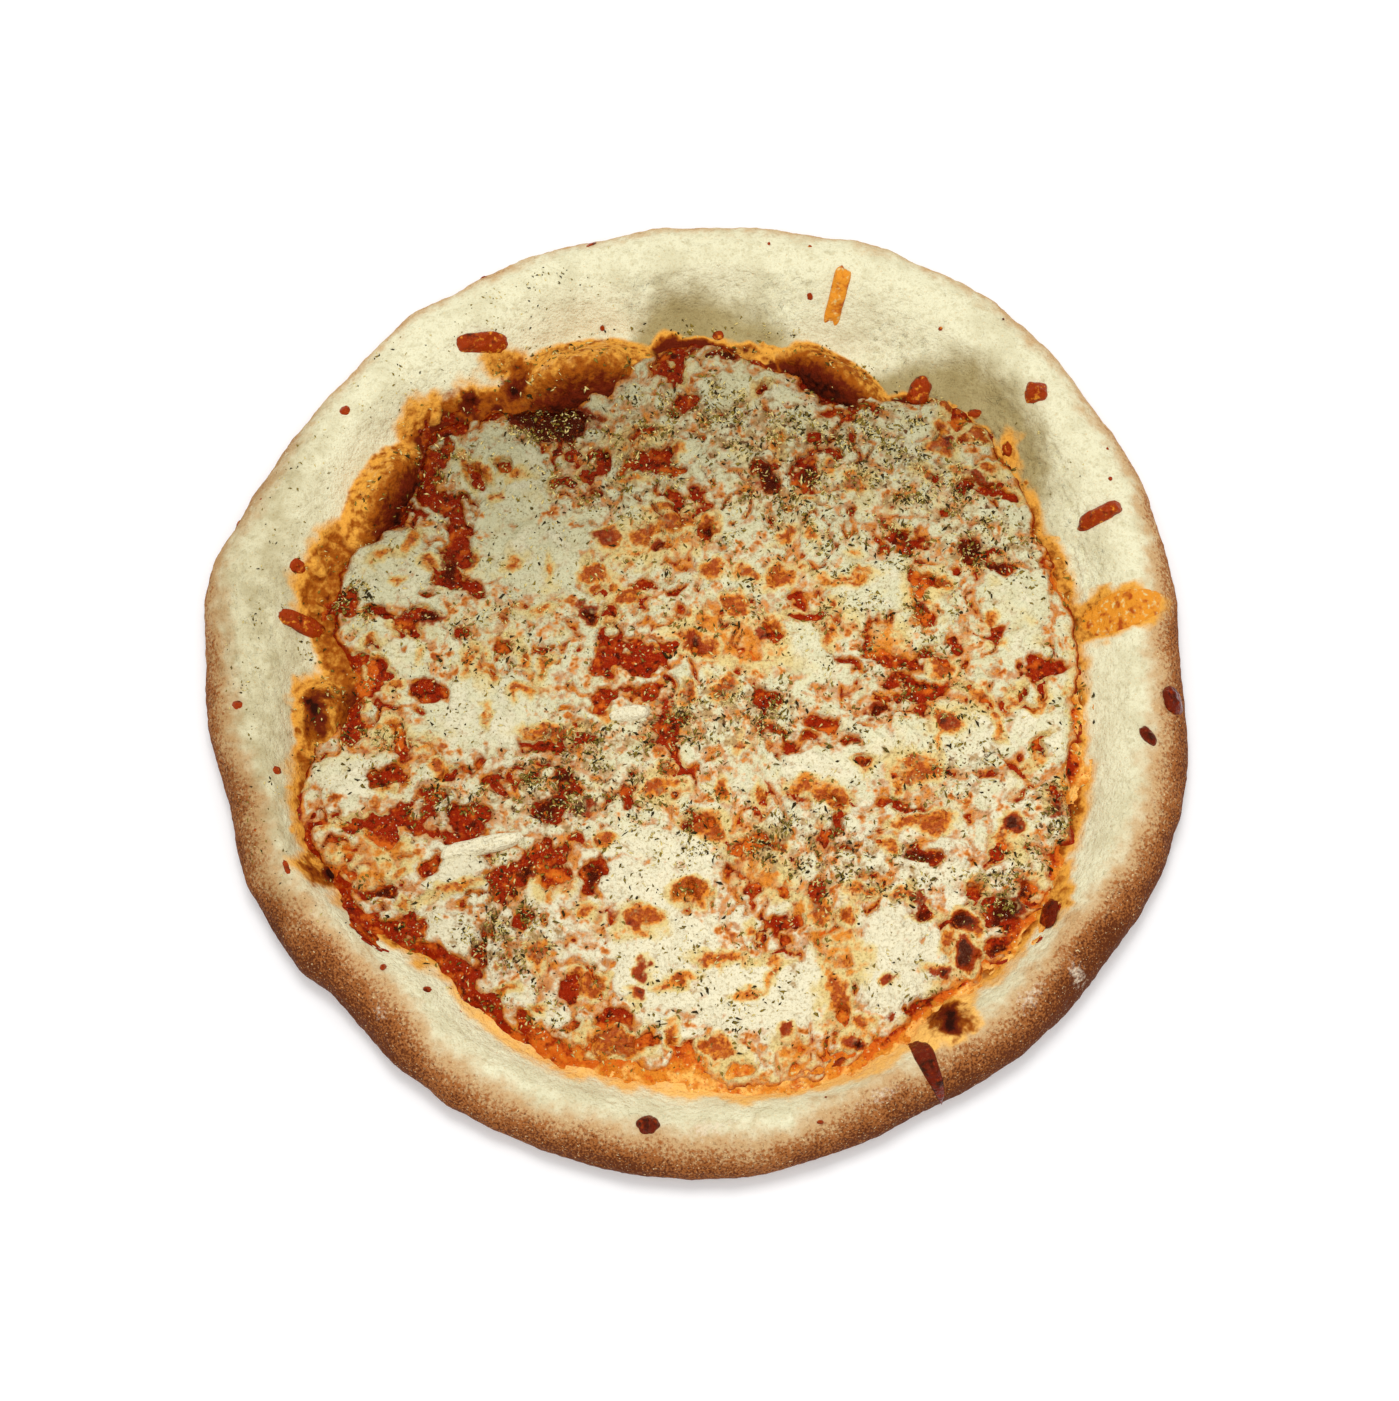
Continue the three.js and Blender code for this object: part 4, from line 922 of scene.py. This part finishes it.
def crust_surface():
    """Rings of points from the middle of the underside, out round the side by a quarter ellipse, over the
    crest, down the slope and in under the topping, then moved out along their normals by the relief."""
    angle = np.linspace(0, 2 * np.pi, CRUST_SECTORS, endpoint=False)
    outer, width = outer_radius(angle), open_inset(angle) + COVERED_SLOPE
    side = np.linspace(1, 0, 20) * np.pi / 2
    under = [share * (outer - FOOT_INSET) for share in (0.3, 0.6, 0.8, 0.93)]
    foot = [outer - FOOT_INSET * (1 - np.cos(turn)) for turn in side]
    over = [outer - CREST_INSET * (1 - np.cos(turn)) for turn in np.linspace(0, np.pi / 2, 28)[1:]]
    crest = outer - CREST_INSET
    reach = np.maximum(width - CREST_INSET, crest - topping_radius(angle) + 5)
    down = [crest - share * reach for share in np.linspace(0, 1, 50)[1:]]
    inner = [share * (crest - reach) for share in (0.97, 0.94, 0.9, 0.85, 0.75, 0.6, 0.3)]
    radius = np.array(under + foot + over + down + inner)
    x, y = radius * np.cos(angle), radius * np.sin(angle)
    z = dough_height(x, y)
    low = len(under) + len(foot)
    z[:low] = 0
    z[len(under):low] = (WIDEST_HEIGHT * (1 - np.sin(side)))[:, None]
    points = np.stack([x, y, z], axis=-1)
    along_ring = np.roll(points, -1, axis=1) - np.roll(points, 1, axis=1)
    normal = np.cross(along_ring, np.gradient(points, axis=0))
    normal /= np.linalg.norm(normal, axis=-1, keepdims=True)
    relief = dough_relief(x, y, z) * smooth(0.2, 4, z)
    relief += lobes(OUTLINE_CORNERS, angle) * smooth(9, 3, outer - radius) * smooth(0.2, 3, z)
    points += normal * relief[..., None]
    points[low:, :, 2] += bubble_lift(x[low:], y[low:])
    inset = np.where(np.arange(len(radius))[:, None] < low, z - WIDEST_HEIGHT, outer - radius)
    return points, inset


def crust_values(points, inset):
    """The numbers that colour the dough: millimetres past the line of browning and inside the oil stain, how
    much flour, gold and burn there is, the burn on the bubbles' inner sides partly painted shade, how much
    painted shade the rim takes, and 1 on the underside."""
    x, y, z = points[..., 0], points[..., 1], points[..., 2]
    angle, radius = np.arctan2(y, x), np.hypot(x, y)
    warp, edge = warped(x, y), topping_radius(angle)
    baked = 2.5 + lobes(BAKE_LOBES, angle) - inset + 2.4 * noise(x, y, z, 14, 71, 3)
    # The stain is stronger on the far right, and it stays pale along the near side and at the left.
    stained = edge + 0.5 + lobes(STAIN_LOBES, angle) - radius + 2.4 * noise(x, y, 0, 9, 75, 3)
    stained = stained * (1 + 1.7 * smooth(60, 100, y) * smooth(-30, 0, x))
    stained = np.maximum(stained, np.minimum(depth_in(*warp, STAIN_SPOTS), 1.5))
    stained = np.minimum(stained, -0.4 + 20 * smooth(-98, -80, y) + 20 * smooth(60, 90, x))
    golden = 1.55 * smooth(-1.6, 1.5, depth_in(*warp, EDGE_LUMPS)) - 1
    burnt = depth_in(*warp, CHARS) + 2.2 * noise(x, y, 0, 4.5, 78, 2)
    for bubble in BUBBLES:
        along, across = across_ellipse(x, y, bubble)
        reach = np.hypot(along, across)
        golden = np.maximum(golden, smooth(1.25, 0.8, reach) * max(1.7 + 0.9 * (bubble[6] - 0.9), 1.65) - 1)
        # The inner side of each bubble and the dough just past its foot darken: burn together with painted shade.
        inner = -2.8 - 6.0 * across - 4.5 * along ** 4 + 3 * (bubble[6] - 0.9)
        burnt = np.maximum(burnt, np.minimum(inner, 2.4) - 14 * smooth(1.25, 1.6, reach))
    # Painted shade: strongest on the rim at the far edge of the topping, fading outwards, and along the left of the
    # rim.
    rim_shade = np.maximum(lobes(RIM_SHADE_LOBES, angle) - 4 - radius + edge, 3 - 9 * smooth(-130, -95, x))
    flour = depth_in(x, y, FLOUR) + 1.5 * noise(x, y, 0, 5, 79, 2)
    stained = np.minimum(stained, 8 - 5.4 * smooth(-84, -98, x))
    oiled = stained - 12 * smooth(-98, -84, y)
    top = {"stained": stained, "oiled": oiled, "golden": golden, "burnt": burnt, "flour": flour, "rim_shade": rim_shade}
    under = smooth(4, 0.5, z)
    baked += under * (UNDERSIDE_BAKED - baked)
    covered = {key: np.where(under > 0.3, ABSENT, value) for key, value in top.items()}
    return {"baked": baked, "under": 3 * under - 2, **covered}


def build_crust():
    """The dough with its rim and bubbles, closed at the middle of both faces."""
    points, inset = crust_surface()
    rings, sectors = points.shape[:2]
    values = crust_values(points, inset)
    ends = np.array([[0, 0, 0], [0, 0, BASE_THICKNESS]])
    turn = np.arange(sectors)
    after, last, count = np.roll(turn, -1), (rings - 1) * sectors, rings * sectors
    faces = [
        grid_faces(rings, sectors, True),
        np.stack([np.full(sectors, count), after, turn], axis=-1),
        np.stack([np.full(sectors, count + 1), last + turn, last + after], axis=-1),
    ]
    flat = np.concatenate([points.reshape(-1, 3), ends])
    numbers = {key: np.append(value.ravel(), [value[0].mean(), value[-1].mean()]) for key, value in values.items()}
    make_piece("pizza_crust", flat, faces, wheat_dough(), "baked_dough", ["crust"], numbers)


def build_sheet(name, count, reach, height, foot, material, slot, replaced, numbers):
    """A sheet over the disc of the topping: a height worked out at each point of a disc grid, closed below by
    a skirt down into the dough and a flat fan at the height foot."""
    unit_x, unit_y = disc_grid(count)
    angle = np.arctan2(unit_y, unit_x)
    radius = np.hypot(unit_x, unit_y) * (topping_radius(angle) + reach)
    x, y = radius * np.cos(angle), radius * np.sin(angle)
    values = numbers(x, y)
    points = np.stack([x, y, height(x, y, values)], axis=-1).reshape(-1, 3)
    index = np.arange(count * count).reshape(count, count)
    rim = np.concatenate([index[0, :-1], index[:-1, -1], index[-1, :0:-1], index[:0:-1, 0]])
    skirt = points[rim].copy()
    skirt[:, 2] = foot
    start, loop = len(points), np.arange(len(rim))
    after = np.roll(loop, -1)
    middle = start + len(rim)
    faces = [
        grid_faces(count, count, False),
        np.stack([rim[after], rim[loop], start + loop, start + after], axis=-1),
        np.stack([start + after, start + loop, np.full(len(rim), middle)], axis=-1),
    ]
    points = np.concatenate([points, skirt, [[0, 0, foot]]])
    kept = {key: np.concatenate([v.ravel(), v.ravel()[rim], [0]]) for key, v in values.items()}
    flat = points[:, :2] / 300 + 0.5
    along = 0.9 * np.stack([loop + 1, loop, loop, loop + 1], axis=-1) / len(rim) + 0.02
    strip = np.stack([along, np.broadcast_to([0.96, 0.96, 0.985, 0.985], along.shape)], axis=-1)
    maps = [0.94 * flat[faces[0]], strip, 0.04 * flat[faces[2]] + [0.95, 0.4]]
    uv = np.concatenate([part.reshape(-1, 2) for part in maps])
    return make_piece(name, points, faces, material, slot, [replaced], kept, uv)


def drop_surface(
    x, y, half_length, half_width, turn, thickness, squareness, lift, taper=0, base=bare_top, seed=0, fine=1,
):
    """A drop of cheese: rings of a superellipse, narrower towards one end by the taper, from its foot up over a
    dome thickness * (1 - s^3)^0.6, with lumps, laid on a height function. Returns points and faces."""
    rings, sectors = 9 * fine, 30 * fine
    angle = np.linspace(0, 2 * np.pi, sectors, endpoint=False)
    reach = (abs(np.cos(angle)) ** squareness + abs(np.sin(angle)) ** squareness) ** (-1 / squareness)
    reach = reach * (0.96 + 0.12 * noise(2 * np.cos(angle), 2 * np.sin(angle), x + 0.37 * y, 1.3, seed + 81, 2))
    share = np.append([1.0, 1.02], np.cos(np.linspace(0.12, np.pi / 2, rings)[:-1]))[:, None]
    along = half_length * share * reach * np.cos(angle)
    across = half_width * share * reach * np.sin(angle) * (1 - taper * along / half_length)
    c, s = np.cos(np.radians(turn)), np.sin(np.radians(turn))
    px, py = x + along * c - across * s, y + along * s + across * c
    dome = np.clip(1 - np.clip(share, 0, 1) ** 3, 0, 1) ** 0.6 * np.ones_like(px)
    lumps = 1 + 0.35 * noise(px, py, 0, 2.6, seed + 85, 2) + 0.15 * noise(px, py, 0, 1.1, seed + 88)
    pz = base(px, py) + lift + thickness * dome * lumps
    pz[0] = base(px[0], py[0]) - 0.5
    top = [[x, y, base(np.array([x]), np.array([y]))[0] + lift + thickness]]
    points = np.concatenate([np.stack([px, py, pz], axis=-1).reshape(-1, 3), top])
    turning = np.arange(sectors)
    last = (len(share) - 1) * sectors
    faces = [
        grid_faces(len(share), sectors, True),
        np.stack([np.full(sectors, len(points) - 1), last + turning, last + np.roll(turning, -1)], axis=-1),
        turning[None, ::-1],
    ]
    return points, faces


def joined(parts):
    """Joins (points, faces) pairs into one."""
    starts = np.cumsum([0] + [len(points) for points, faces in parts])
    faces = [block + start for (points, blocks), start in zip(parts, starts) for block in blocks]
    return np.concatenate([points for points, blocks in parts]), faces


def bare_cheese(count):
    """The numbers of cheese that is bright and free of windows, oil, herbs and browning."""
    absent = ("window", "oily", "toasted", "dark", "speckle", "herby", "far")
    return {**{key: np.full(count, ABSENT) for key in absent}, "bright": np.ones(count), "relief": np.ones(count)}


def in_beds(rng, count, beds, reach, inner=0.0, floor=0.0):
    """Random places whose density follows the beds: places all over the ring between two radii are kept with
    a chance equal to the density there."""
    tries = count * 14
    radius = np.sqrt(rng.uniform(inner ** 2, reach ** 2, tries))
    angle = rng.uniform(0, 2 * np.pi, tries)
    x, y = radius * np.cos(angle), radius * np.sin(angle)
    density = np.full(tries, floor)
    for bed in beds:
        away = np.hypot(*across_ellipse(x, y, halved(bed)))
        density = np.maximum(density, bed[5] * smooth(1.35, 0.4, away))
    density *= 0.1 + 0.9 * smooth(-0.15, 0.5, noise(x, y, 0, 7, 91, 2))
    keep = np.flatnonzero(rng.random(tries) < density)[:count]
    return x[keep], y[keep]


def build_flecks(name, x, y, long, wide, thick, material, rng):
    """Herb flecks as six-cornered lozenges, each with its own size, turn and tilt, lying on the topping. Each
    has its own square on the bake's map."""
    count = len(x)
    across_shift, lift = rng.uniform(-0.25, 0.25, (2, count)), 0.12
    corners = np.zeros((count, 6, 3))
    corners[:, 0, 0], corners[:, 1, 0] = long / 2, -long / 2
    corners[:, 2, 1], corners[:, 3, 1] = wide / 2, -wide / 2
    corners[:, 2, 0], corners[:, 3, 0] = across_shift * long
    corners[:, 4, 2], corners[:, 5, 2] = thick / 2, -thick / 2
    corners[:, :2, 2] -= (rng.uniform(0, 0.25, count) * long)[:, None]
    turn, tilt, roll = rng.uniform(0, 2 * np.pi, count), rng.normal(0, 0.28, count), rng.normal(0, 0.4, count)
    for angle, first, second in ((roll, 1, 2), (tilt, 0, 2), (turn, 0, 1)):
        c, s = np.cos(angle)[:, None], np.sin(angle)[:, None]
        a, b = corners[..., first].copy(), corners[..., second].copy()
        corners[..., first], corners[..., second] = a * c - b * s, a * s + b * c
    corners += np.stack([x, y, topping_top(x, y) + lift], axis=-1)[:, None, :]
    lozenge = np.array([[0, 2, 4], [2, 1, 4], [1, 3, 4], [3, 0, 4], [2, 0, 5], [1, 2, 5], [3, 1, 5], [0, 3, 5]])
    faces = (lozenge[None] + 6 * np.arange(count)[:, None, None]).reshape(-1, 3)
    cells = int(np.ceil(np.sqrt(count)))
    spots = np.array([[0.1, 0.5], [0.9, 0.5], [0.5, 0.1], [0.5, 0.9], [0.4, 0.5], [0.6, 0.5]])
    home = np.stack([np.arange(count) % cells, np.arange(count) // cells], axis=-1)
    uv = ((home[:, None, :] + spots[None]) / cells).reshape(-1, 2)[faces]
    shade = np.repeat(rng.random(count), 6)
    make_piece(name, corners.reshape(-1, 3), [faces], material, values={"shade": shade}, uv=uv)


def sauce_values(x, y):
    """The numbers that colour the sauce: how oily it is in the stains, near the eater and at its edge, how much
    painted shade it takes towards the far and the left side, and how far inside the dark spots it lies; under
    bubble A these are painted shadow."""
    warp = warped(x, y)
    stains = np.clip(depth_in(*warp, OIL_STAINS) / 2, ABSENT, 1.6)
    near = np.minimum((-y - 105) / 5.5, 3.2)
    # The oily edge fades away except along the near side and at the right.
    oil_thinned = np.maximum(smooth(-90, -30, y) * smooth(118, 90, x), smooth(-20, -48, x))
    edge = np.minimum(3.6 - 0.9 * sauce_inside(x, y), 3.2) - 2.6 * oil_thinned
    oily = np.maximum(np.maximum(stains, near), edge)
    return {"oily": oily, "far": dimmed(x, y), "deep": depth_in(*warp, DARK_SPOTS)}


def cheese_values(x, y):
    """The numbers that colour the cheese: its windows and relief, how oily, toasted, dark, speckled and herby it
    is, where it is bright from pale cheese and from painted light on the near half, and how much painted shade
    it takes towards the far and the left side. Under bubble A the dark is painted shadow."""
    warp = warped(x, y)
    shreds = shred_relief(*warp)
    pale = smooth(-2, 4, depth_in(x, y, PALE_AREAS))
    # Painted light: 1 on the near half of the cheese and 0 at the far side, added to bright.
    near = smooth(30, -100, y)
    herby = sum(bed[5] * smooth(-6, 6, depth_in(x, y, [bed])) for bed in HERB_BEDS[:DUSTY_BEDS])
    return {
        "window": window_depth(x, y, shreds),
        "relief": cheese_relief(x, y, shreds),
        "oily": np.minimum(depth_in(*warp, OIL_STAINS) / 2 - 0.4, 1.3),
        "toasted": np.minimum(depth_in(*warp, TOASTED), 1.6),
        "dark": depth_in(*warp, DARK_SPOTS),
        "speckle": 0.42 * busy(x, y) - 0.26 - 0.07 * smooth(20, 70, y),
        "far": dimmed(x, y),
        "bright": 0.25 * pale + 0.6 * near + 0.2 * shreds,
        "herby": np.clip(herby, 0, 1) * 0.45,
    }


class PIZZA_OT_crust(bpy.types.Operator):
    """Make the baked dough with its rim and bubbles"""

    bl_idname = "pizza.crust"
    bl_label = "Crust"

    def execute(self, context):
        build_crust()
        return {"FINISHED"}


class PIZZA_OT_sauce(bpy.types.Operator):
    """Make the bed of tomato sauce"""

    bl_idname = "pizza.sauce"
    bl_label = "Sauce"

    def execute(self, context):
        build_sheet(
            "tomato_sauce_bed", SAUCE_GRID, 4, lambda x, y, values: sauce_height(x, y), SAUCE_BOTTOM,
            tomato_sauce(), "tomato_sauce", "tomato_sauce", sauce_values,
        )
        return {"FINISHED"}


class PIZZA_OT_cheese(bpy.types.Operator):
    """Make the melted cheese"""

    bl_idname = "pizza.cheese"
    bl_label = "Cheese"

    def execute(self, context):
        build_sheet(
            "mozzarella_sheet", CHEESE_GRID, 5,
            lambda x, y, values: cheese_height(x, y, values["window"], values["relief"]), CHEESE_BOTTOM,
            mozzarella(), "melted_cheese", "mozzarella", cheese_values,
        )
        return {"FINISHED"}


class PIZZA_OT_lying_pieces(bpy.types.Operator):
    """Make the single shreds, bits and drips, each in place of its CAD node"""

    bl_idname = "pizza.lying_pieces"
    bl_label = "Single pieces"

    def execute(self, context):
        c = colours()
        gold = toasted_cheese("mozzarella_toasted_golden", c.toast_gold, c.cheese_toasted, c.cheese_oily)
        dark = toasted_cheese("mozzarella_toasted_dark", c.toast_red, c.toast_dark, c.toast_gold)
        drip = toasted_cheese("sauce_baked_dark", c.drip_brown, c.drip_black, c.toast_red)
        special = dict.fromkeys(("toasted_cheese_patch", "cheese_shred_north"), gold)
        special.update(dict.fromkeys((
            "sauce_drip_south_east", "toasted_finger_south_east", "toasted_drop_south", "toasted_bit_east",
            "cheese_crumb_east",
        ), drip))
        for seed, (name, shape) in enumerate(RIM_PIECES.items()):
            points, faces = drop_surface(*shape, seed=seed, fine=2)
            make_piece(name + "_baked", points, faces, special.get(name, dark), "toasted_cheese", [name])
        pale = mozzarella()
        for seed, (name, shape) in enumerate(PALE_PIECES.items()):
            points, faces = drop_surface(*shape, base=dough_height, seed=40 + seed, fine=2)
            make_piece(name + "_melted", points, faces, pale, "melted_cheese", [name], bare_cheese(len(points)))
        return {"FINISHED"}


class PIZZA_OT_crumbs(bpy.types.Operator):
    """Make the crumbs and spots on the rim"""

    bl_idname = "pizza.crumbs"
    bl_label = "Crumbs"

    def execute(self, context):
        c = colours()
        dark = toasted_cheese("crumbs_toasted", c.toast_red, c.toast_dark, c.toast_gold)
        shape = {"thickness": 1.0, "squareness": 2.1, "lift": -0.3}
        parts = [drop_surface(*halved(crumb), **shape, seed=seed) for seed, crumb in enumerate(RIM_CRUMBS)]
        make_piece("rim_crumbs", *joined(parts), dark, "toasted_cheese")
        return {"FINISHED"}


class PIZZA_OT_herbs(bpy.types.Operator):
    """Scatter the dried herbs"""

    bl_idname = "pizza.herbs"
    bl_label = "Herbs"

    def execute(self, context):
        c, s = colours(), sizes()
        rng = np.random.default_rng(HERB_SEED)
        kinds = (
            ("herb_leaves_dark", s.dark_flecks, (0.4, 3.2), (0.35, 1.3), "oregano_dark", c.herb_dark, c.herb_olive),
            ("herb_leaves_olive", s.olive_flecks, (0.4, 3.0), (0.35, 1.4), "oregano_olive", c.herb_olive, c.herb_dark),
            ("herb_stalks_straw", s.straw_flecks, (0.8, 3.2), (0.4, 0.9), "oregano_stalk", c.herb_straw, c.herb_olive),
        )
        for name, count, long, wide, herb, base, other in kinds:
            x, y = in_beds(rng, count, HERB_BEDS, HERB_REACH, floor=LOOSE_HERBS)
            inner, outer = RIM_HERB_RING
            rim_x, rim_y = in_beds(rng, count // RIM_HERB_SHARE, RIM_HERB_BEDS, outer, inner)
            x, y = np.append(x, rim_x), np.append(y, rim_y)
            small = rng.random(len(x)) ** HERB_RARITY * np.where(np.hypot(x, y) > HERB_REACH, 0.5, 1)
            long_mm = long[0] + (long[1] - long[0]) * small
            wide_mm = wide[0] + (wide[1] - wide[0]) * small * rng.uniform(0.5, 1, len(x))
            build_flecks(name, x, y, long_mm, wide_mm, 0.35 * wide_mm, dried_herb(herb, base, other), rng)
        return {"FINISHED"}


class PIZZA_OT_stage(bpy.types.Operator):
    """Make the floor, the lights and the camera"""

    bl_idname = "pizza.stage"
    bl_label = "Stage"

    def execute(self, context):
        scene = context.scene
        mesh = bpy.data.meshes.new("studio_floor")
        corners = [(FLOOR_REACH * x, FLOOR_REACH * y, FLOOR_HEIGHT) for x, y in ((-1, -1), (1, -1), (1, 1), (-1, 1))]
        mesh.from_pydata(corners, [], [(0, 1, 2, 3)])
        mesh.materials.append(food_material("painted_board", colours().floor, [], (0.8, 0.9), []))
        floor = bpy.data.objects.new("studio_floor", mesh)
        scene.collection.objects.link(floor)

        world = bpy.data.worlds.new("studio_sky")
        world.use_nodes = True
        background = world.node_tree.nodes["Background"]
        background.inputs["Color"].default_value = (1, 1, 1, 1)
        background.inputs["Strength"].default_value = sizes().sky_strength
        scene.world = world
        # Name, place and size in metres, and power.
        for name, place, width, watts in (
            ("key_light", (-0.03, 0.16, 1.13), 0.3, sizes().key_power),
            ("fill_light", (0.05, -0.45, 1.1), 0.5, sizes().fill_power),
        ):
            light = bpy.data.lights.new(name, "AREA")
            light.energy, light.size = watts, width
            lamp = bpy.data.objects.new(name, light)
            lamp.location = place
            lamp.rotation_euler = (-Vector(place)).to_track_quat("-Z", "Y").to_euler()
            scene.collection.objects.link(lamp)

        elevation = np.radians(CAMERA_ELEVATION)
        back = Vector((0, -np.cos(elevation), np.sin(elevation)))
        camera_data = bpy.data.cameras.new("camera")
        camera_data.lens = sizes().camera_lens
        camera = bpy.data.objects.new("camera", camera_data)
        camera.location = Vector(CAMERA_TARGET) + back * sizes().camera_distance
        camera.rotation_euler = (-back).to_track_quat("-Z", "Y").to_euler()
        scene.collection.objects.link(camera)
        scene.camera = camera
        scene.view_settings.view_transform = "Standard"
        return {"FINISHED"}


OPERATORS = (
    PIZZA_OT_crust, PIZZA_OT_sauce, PIZZA_OT_cheese, PIZZA_OT_lying_pieces, PIZZA_OT_crumbs, PIZZA_OT_herbs,
    PIZZA_OT_stage,
)


class PIZZA_PT_panel(bpy.types.Panel):
    """Lists the pizza's pieces and the values that a user would change"""

    bl_label = "Pizza"
    bl_space_type = "VIEW_3D"
    bl_region_type = "UI"
    bl_category = "Pizza"

    def draw(self, context):
        for operator in OPERATORS:
            self.layout.operator(operator.bl_idname)
        for group in (context.scene.pizza_sizes, context.scene.pizza_colours):
            for name in group.__annotations__:
                self.layout.prop(group, name)


CLASSES = (PizzaSizes, PizzaColours) + OPERATORS + (PIZZA_PT_panel,)


def register():
    for cls in CLASSES:
        bpy.utils.register_class(cls)
    bpy.types.Scene.pizza_sizes = PointerProperty(type=PizzaSizes)
    bpy.types.Scene.pizza_colours = PointerProperty(type=PizzaColours)


def unregister():
    del bpy.types.Scene.pizza_sizes
    del bpy.types.Scene.pizza_colours
    for cls in reversed(CLASSES):
        bpy.utils.unregister_class(cls)


def main():
    register()
    bpy.ops.pizza.crust()
    bpy.ops.pizza.sauce()
    bpy.ops.pizza.cheese()
    bpy.ops.pizza.lying_pieces()
    bpy.ops.pizza.crumbs()
    bpy.ops.pizza.herbs()
    bpy.ops.pizza.stage()


if __name__ == "__main__":
    main()
